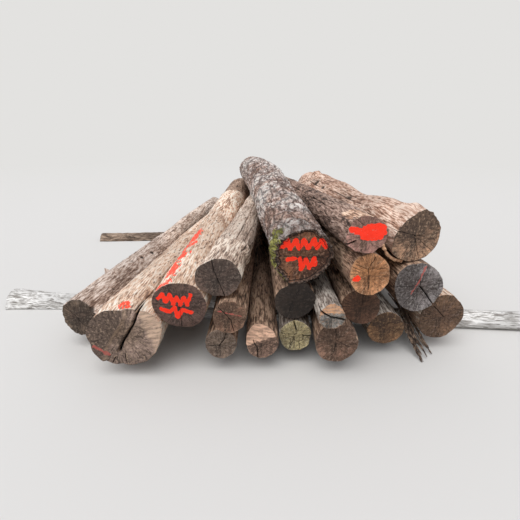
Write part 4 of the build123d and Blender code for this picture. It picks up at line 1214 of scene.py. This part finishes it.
# The same bearer wood in the shade behind the heap: it has stayed brown.
bare_wood("brown_bearer_wood", "#b59e8a", "#7f6a5a", "#5f4e41", "#33281f")
for seed, node in enumerate(("front_bearer", "rear_bearer", "thin_pole")):
    piece = dress_pole(node, POLE_LOOK, 900 + 30 * seed)
    if node == "rear_bearer":
        piece.data.materials[0] = MATERIALS["brown_bearer_wood"]
    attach(piece, "root")
    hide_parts(node)
    print(piece.name, "faces:", len(piece.data.polygons))

# %% [markdown]
# Fallen bark is bast: flat strings that split apart lengthwise. A strip is a
# bundle that frays at both ends. It could be one solid with a fringe of bump, but
# its gaps show, so each string is a thin flat tube of its own. It wanders inside
# the construction's outline, so the bundle keeps its place and its thickness.

# %% Strips of bast
STRING_STEPS = 64         # where the strip's outline is read
STRING_ROWS = 40
STRING_ROUND = 10
SHORT_STRING = 14         # the least number of steps that a string runs
FRAY = 1.1                # how much wider than its middle a bundle is at its frayed ends


def own_axes(points):
    """Middle and the long, wide and thin directions of a cloud of points, from its spread."""
    middle = points.mean(0)
    directions = np.linalg.eigh(np.cov((points - middle).T))[1]
    return middle, directions[:, ::-1].T


def bark_strings(node, count, seed):
    """Flat strings side by side along a strip: (rows, around, 3) points for each string."""
    rng = np.random.default_rng(seed)
    points = mesh_arrays(node)[0]
    middle, axes = own_axes(points)
    local = (points - middle) @ axes.T
    along = np.linspace(local[:, 0].min(), local[:, 0].max(), STRING_STEPS)
    bands = [np.abs(local[:, 0] - y) < .07 * np.ptp(local[:, 0]) for y in along]
    low = np.array([local[band].min(0) for band in bands])
    high = np.array([local[band].max(0) for band in bands])
    turn = np.linspace(0, 2 * pi, STRING_ROUND, endpoint=False)
    strings = []
    for k in range(count):
        ends = sorted(rng.uniform(0, STRING_STEPS - 1, 2)) if k > 2 else (0, STRING_STEPS - 1)
        here = np.linspace(ends[0], max(ends[1], ends[0] + SHORT_STRING), STRING_ROWS)
        here = here.clip(0, STRING_STEPS - 1)
        y = np.interp(here, np.arange(STRING_STEPS), along)
        floor = np.array([np.interp(here, np.arange(STRING_STEPS), low[:, axis]) for axis in (1, 2)])
        roof = np.array([np.interp(here, np.arange(STRING_STEPS), high[:, axis]) for axis in (1, 2)])
        share = here / (STRING_STEPS - 1)
        fan = 1.1 + FRAY * (2 * np.abs(share - .5)) ** 1.5
        lane = (k + .5) / count + .1 * np.cumsum(rng.normal(0, .25, here.size)) / np.sqrt(here.size)
        level = .5 + .22 * np.sin(here / 7 + rng.uniform(0, 6))
        wide = (roof[0] - floor[0]) / count * rng.uniform(1.2, 2.6)
        thick = (roof[1] - floor[1]) * rng.uniform(.15, .35)
        taper = np.sin(np.linspace(.03, pi - .03, here.size)) ** .35
        lane = .5 + (lane.clip(.05, .95) - .5) * fan
        mid = floor + (roof - floor) * np.array([lane, level])
        ragged = 1 + .3 * rng.normal(0, 1, (here.size, turn.size))
        u = mid[0][:, None] + (wide * taper)[:, None] * np.cos(turn) * ragged
        v = mid[1][:, None] + (thick * taper)[:, None] * np.sin(turn) * ragged
        strings.append(middle + y[:, None, None] * axes[0] + u[..., None] * axes[1] + v[..., None] * axes[2])
    return strings


def joined_tubes(name, tubes, edges=None):
    """One object of several closed tubes: grids of rows, whose ends are closed by a ladder of quads."""
    points, faces, start = [], [], 0
    for tube in tubes:
        rows, around = tube.shape[:2]
        spokes = tube[0] - tube[0].mean(0)
        turning = np.cross(spokes, np.roll(spokes, -1, axis=0)).sum(0)
        order = 1 if turning @ (tube[1].mean(0) - tube[0].mean(0)) > 0 else -1
        grid = start + np.arange(rows * around).reshape(rows, around)
        after = np.roll(grid, -1, axis=1)
        quads = np.stack([grid[:-1], after[:-1], after[1:], grid[1:]], -1).reshape(-1, 4)
        rung = np.arange(around // 2 - 1)
        cap = np.stack([rung, rung + 1, around - 2 - rung, around - 1 - rung], -1)
        faces.append(np.concatenate([quads, grid[-1][cap], grid[0][cap][:, ::-1]])[:, ::order])
        points.append(tube.reshape(-1, 3))
        start += rows * around
    mesh = bpy.data.meshes.new(name)
    mesh.from_pydata(np.concatenate(points).tolist(), [], np.concatenate(faces).tolist())
    mesh.polygons.foreach_set("use_smooth", np.ones(len(mesh.polygons), bool))
    if edges is not None:
        layer = mesh.attributes.new("broken", "FLOAT", "POINT")
        layer.data.foreach_set("value", edges.ravel().astype(np.float32))
    piece = bpy.data.objects.new(name, mesh)
    bpy.context.scene.collection.objects.link(piece)
    return piece


print("points in a string:", STRING_ROWS * STRING_ROUND)

# %% [markdown]
# The slab is bark that has curled away from the crooked log: a thick dished shell,
# dark outside and pale where it broke. It could be bent out of a flat sheet, but
# it must stay off the log all along, so its inner side is the log's own radius
# plus a gap that opens towards the free edge.

# %% Slab of bark
SLAB_PEEL = 58 * MM       # how far the slab's free edge stands off the log
SLAB_CLEAR = .4 * MM      # and how far its closed edge does
SLAB_THICK = 21 * MM
SLAB_FORWARD = 25 * MM    # its ragged front edge reaches this far before the straight cut of the node
SLAB_ROUND = 40
SLAB_PLATES = 5 * MM


def peeled_slab(node, log, seed):
    """A dished shell and its broken edges: out and back across the bark, by the distance along the log."""
    look = LOOKS[log]
    form = read_form(log, (0, 1, 0), 0, max(deep * MM for _, _, deep in look.rear))
    local = (mesh_arrays(node)[0] - form.front) @ np.array([form.right, form.axis, form.up]).T
    x, z = form.middle(local[:, 1])
    turn = np.arctan2(local[:, 2] - z, local[:, 0] - x) % (2 * pi)
    near, far = local[:, 1].min() - SLAB_FORWARD, local[:, 1].max()
    across = np.concatenate([np.linspace(0, 1, SLAB_ROUND), np.linspace(1, 0, SLAB_ROUND)])
    rows = np.concatenate([[0, .004, .01], np.linspace(.02, .98, 60), [.99, .996, 1]])
    share, row = np.meshgrid(across, rows)
    outer = np.repeat([[1.0, 0.0]], SLAB_ROUND, axis=1) + 0 * row
    ragged = .5 + noise(share * pi, row * 0, 15, 1, seed) + .5 * noise(share * pi, row * 0, 41, 1, seed + 4)
    y = near + (far - near) * row + 22 * MM * ragged * (1 - row) ** 8 - 40 * MM * ragged * row ** 8
    fray = .05 * noise(share * 0, y, 3, .05, seed + 1)
    around = turn.min() + fray * (1 - share) + (np.ptp(turn) + .08) * share
    crust = 1 + .45 * noise(around, y, 60, .04, seed + 2)
    plates = SLAB_PLATES * (1 - 2 * np.abs(noise(around, y, 29, .055, seed + 3)))
    radius = form.radius(around, y) + SLAB_CLEAR + SLAB_PEEL * (1 - share) ** 1.1
    radius = radius + outer * (SLAB_THICK * crust + plates)
    x, z = form.middle(y)
    broken = np.maximum(smooth(1.6 - row / .006), smooth((.05 - share) / .03))
    return form.place(x + radius * np.cos(around), y, z + radius * np.sin(around)), broken


def loose_bark(name, dark, brown, ash, fresh):
    """Fallen bark: strings of bast along the piece, pale where it broke."""
    material, tree, output = new_material(name)
    place = add(tree, "TexCoord").outputs["Object"]
    way = add(tree, "Mapping", {"Vector": place, "Scale": (1, .25, .6)}).outputs[0]
    strings = add(tree, "TexNoise", {"Vector": way, "Scale": 55.0, "Detail": 5.0, "Roughness": .7}).outputs[0]
    colour = add(tree, "ValToRGB", {0: strings}, stops=((.4, dark), (.5, brown), (.6, ash))).outputs[0]
    broken = add(tree, "Attribute", attribute_name="broken").outputs["Fac"]
    colour = add(tree, "Mix", {0: broken, 6: colour, 7: linear(fresh)}, data_type="RGBA").outputs[2]
    bump = add(tree, "Bump", {"Height": strings, "Strength": .9, "Distance": .015}).outputs[0]
    shader = add(tree, "BsdfPrincipled", {"Base Color": colour, "Roughness": .9, "Normal": bump})
    tree.links.new(shader.outputs[0], output.inputs[0])
    MATERIALS[name] = material


# Bast dried in the open after it fell off: dull, stringy, dark brown with ash on its ridges.
loose_bark("loose_bark", "#2b211b", "#5e4b3e", "#96806d", "#dcae8a")
slab, broken_edge = peeled_slab("bark_slab", "crooked_top_log", 90)
bark_pieces = [(joined_tubes("peeled_bark_slab", [slab], broken_edge), "bark_slab")]
for node, count in (("long_bark_strip", 18), ("short_bark_strip", 12)):
    strings = bark_strings(node, count, 70 + count)
    bark_pieces.append((joined_tubes(node.replace("bark_s", "bast_s"), strings), node))
for piece, node in bark_pieces:
    piece.data.materials.append(MATERIALS["loose_bark"])
    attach(piece, "root")
    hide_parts(node)
    print(piece.name, "faces:", len(piece.data.polygons))

# %% [markdown]
# Studio paper under the heap: matte, pale, and fading into the background far
# away. A curved backdrop would do it, but its bend shows in some views, so it is
# a flat disc whose far part gives off the background's own colour.

# %% Floor
BACKDROP = "#e3e2e0"
FLOOR_REACH = 60          # metres
FLOOR_CORNERS = 96
FLOOR_SEEN = "#d6d4d1"
FLOOR_LIT = "#8f8c86"     # what bounced light meets: darker, so that the gaps stay dark
FADE_FROM, FADE_TO = 4.5, 16.0    # metres from the middle


def pale_floor():
    """A wide flat disc under the heap: points on one circle."""
    turn = np.linspace(0, 2 * pi, FLOOR_CORNERS, endpoint=False)
    points = np.stack([FLOOR_REACH * np.cos(turn), FLOOR_REACH * np.sin(turn), 0 * turn], -1)
    mesh = bpy.data.meshes.new("pale_floor")
    mesh.from_pydata(points.tolist(), [], [list(range(FLOOR_CORNERS))])
    floor = bpy.data.objects.new("pale_floor", mesh)
    bpy.context.scene.collection.objects.link(floor)
    material, tree, output = new_material("pale_floor_paint")
    seen = add(tree, "LightPath").outputs["Is Camera Ray"]
    tone = add(tree, "Mix", {0: seen, 6: linear(FLOOR_LIT), 7: linear(FLOOR_SEEN)},
               data_type="RGBA").outputs[2]
    near = add(tree, "BsdfPrincipled", {"Base Color": tone, "Roughness": .95})
    far = add(tree, "Emission", {"Color": linear(BACKDROP), "Strength": 1.0})
    place = add(tree, "TexCoord").outputs["Object"]
    reach = add(tree, "VectorMath", {0: place}, operation="LENGTH").outputs["Value"]
    fade = add(tree, "MapRange", {0: reach, 1: FADE_FROM, 2: FADE_TO}).outputs[0]
    both = add(tree, "MixShader", {0: fade, 1: near.outputs[0], 2: far.outputs[0]})
    tree.links.new(both.outputs[0], output.inputs[0])
    mesh.materials.append(material)


pale_floor()
print("floor reaches", FLOOR_REACH, "m")

# %% [markdown]
# The day was overcast with a little sun: flat light, soft shadows, dark gaps. Area
# lamps would light the near logs more than the far ones, so an even sky does most
# of it, and one very soft sun gives the trunks a light side. At this level a
# colour renders about as it is written.

# %% Sky and sun
SKY_COLOUR = "#f3f5fa"
SKY_STRENGTH = .68
SUN_WIDTH = 60            # degrees across, so that shadows have no edge
SUN_STRENGTH = 2.0


def sky_and_sun():
    """An even sky, the pale background that the camera sees, and a very soft sun."""
    world = bpy.data.worlds.new("studio_sky")
    world.use_nodes = True
    tree = world.node_tree
    tree.nodes.clear()
    path = add(tree, "LightPath")
    seen = add(tree, "Math", {0: path.outputs["Is Camera Ray"], 1: path.outputs["Is Glossy Ray"]},
               operation="MAXIMUM").outputs[0]
    light = add(tree, "Background", {"Color": linear(SKY_COLOUR), "Strength": SKY_STRENGTH})
    shown = add(tree, "Background", {"Color": linear(BACKDROP), "Strength": 1.0})
    both = add(tree, "MixShader", {0: seen, 1: light.outputs[0], 2: shown.outputs[0]})
    add(tree, "OutputWorld", {0: both.outputs[0]})
    bpy.context.scene.world = world
    lamp = bpy.data.lights.new("soft_lamp", "SUN")
    lamp.angle = radians(SUN_WIDTH)
    lamp.energy = SUN_STRENGTH
    holder = bpy.data.objects.new("soft_lamp", lamp)
    holder.rotation_euler = (radians(30), 0, radians(-25))
    bpy.context.scene.collection.objects.link(holder)


sky_and_sun()
print("sky", SKY_STRENGTH, "and sun", SUN_STRENGTH)

# %% [markdown]
# The camera stands where an adult's eye would be, in front of the sawn ends, and
# looks down on the heap. Its height, tilt and lens come from the horizon and from
# how fast the ends shrink with distance.

# %% Camera
LENS = 27                 # mm
SENSOR = 36               # mm
EYE_HEIGHT = 1.72
EYE_BACK = 2.31           # in front of the foremost sawn end
LOOK_DOWN = 19.1          # degrees
camera_data = bpy.data.cameras.new("eye")
camera_data.lens = LENS
camera_data.sensor_width = SENSOR
camera = bpy.data.objects.new("eye", camera_data)
camera.location = (0, cad_low.y - EYE_BACK, EYE_HEIGHT)
camera.rotation_euler = (radians(90 - LOOK_DOWN), 0, 0)
bpy.context.scene.collection.objects.link(camera)
bpy.context.scene.camera = camera
bpy.context.scene.view_settings.view_transform = "Standard"
print("camera at", [round(value, 3) for value in camera.location])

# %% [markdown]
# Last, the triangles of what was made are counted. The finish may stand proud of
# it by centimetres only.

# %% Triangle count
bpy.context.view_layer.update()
triangles = sum(len(face.vertices) - 2 for item in bpy.data.objects if item.type == "MESH"
                and item.name not in frame["nodes"] for face in item.data.polygons)
print("triangles:", triangles)
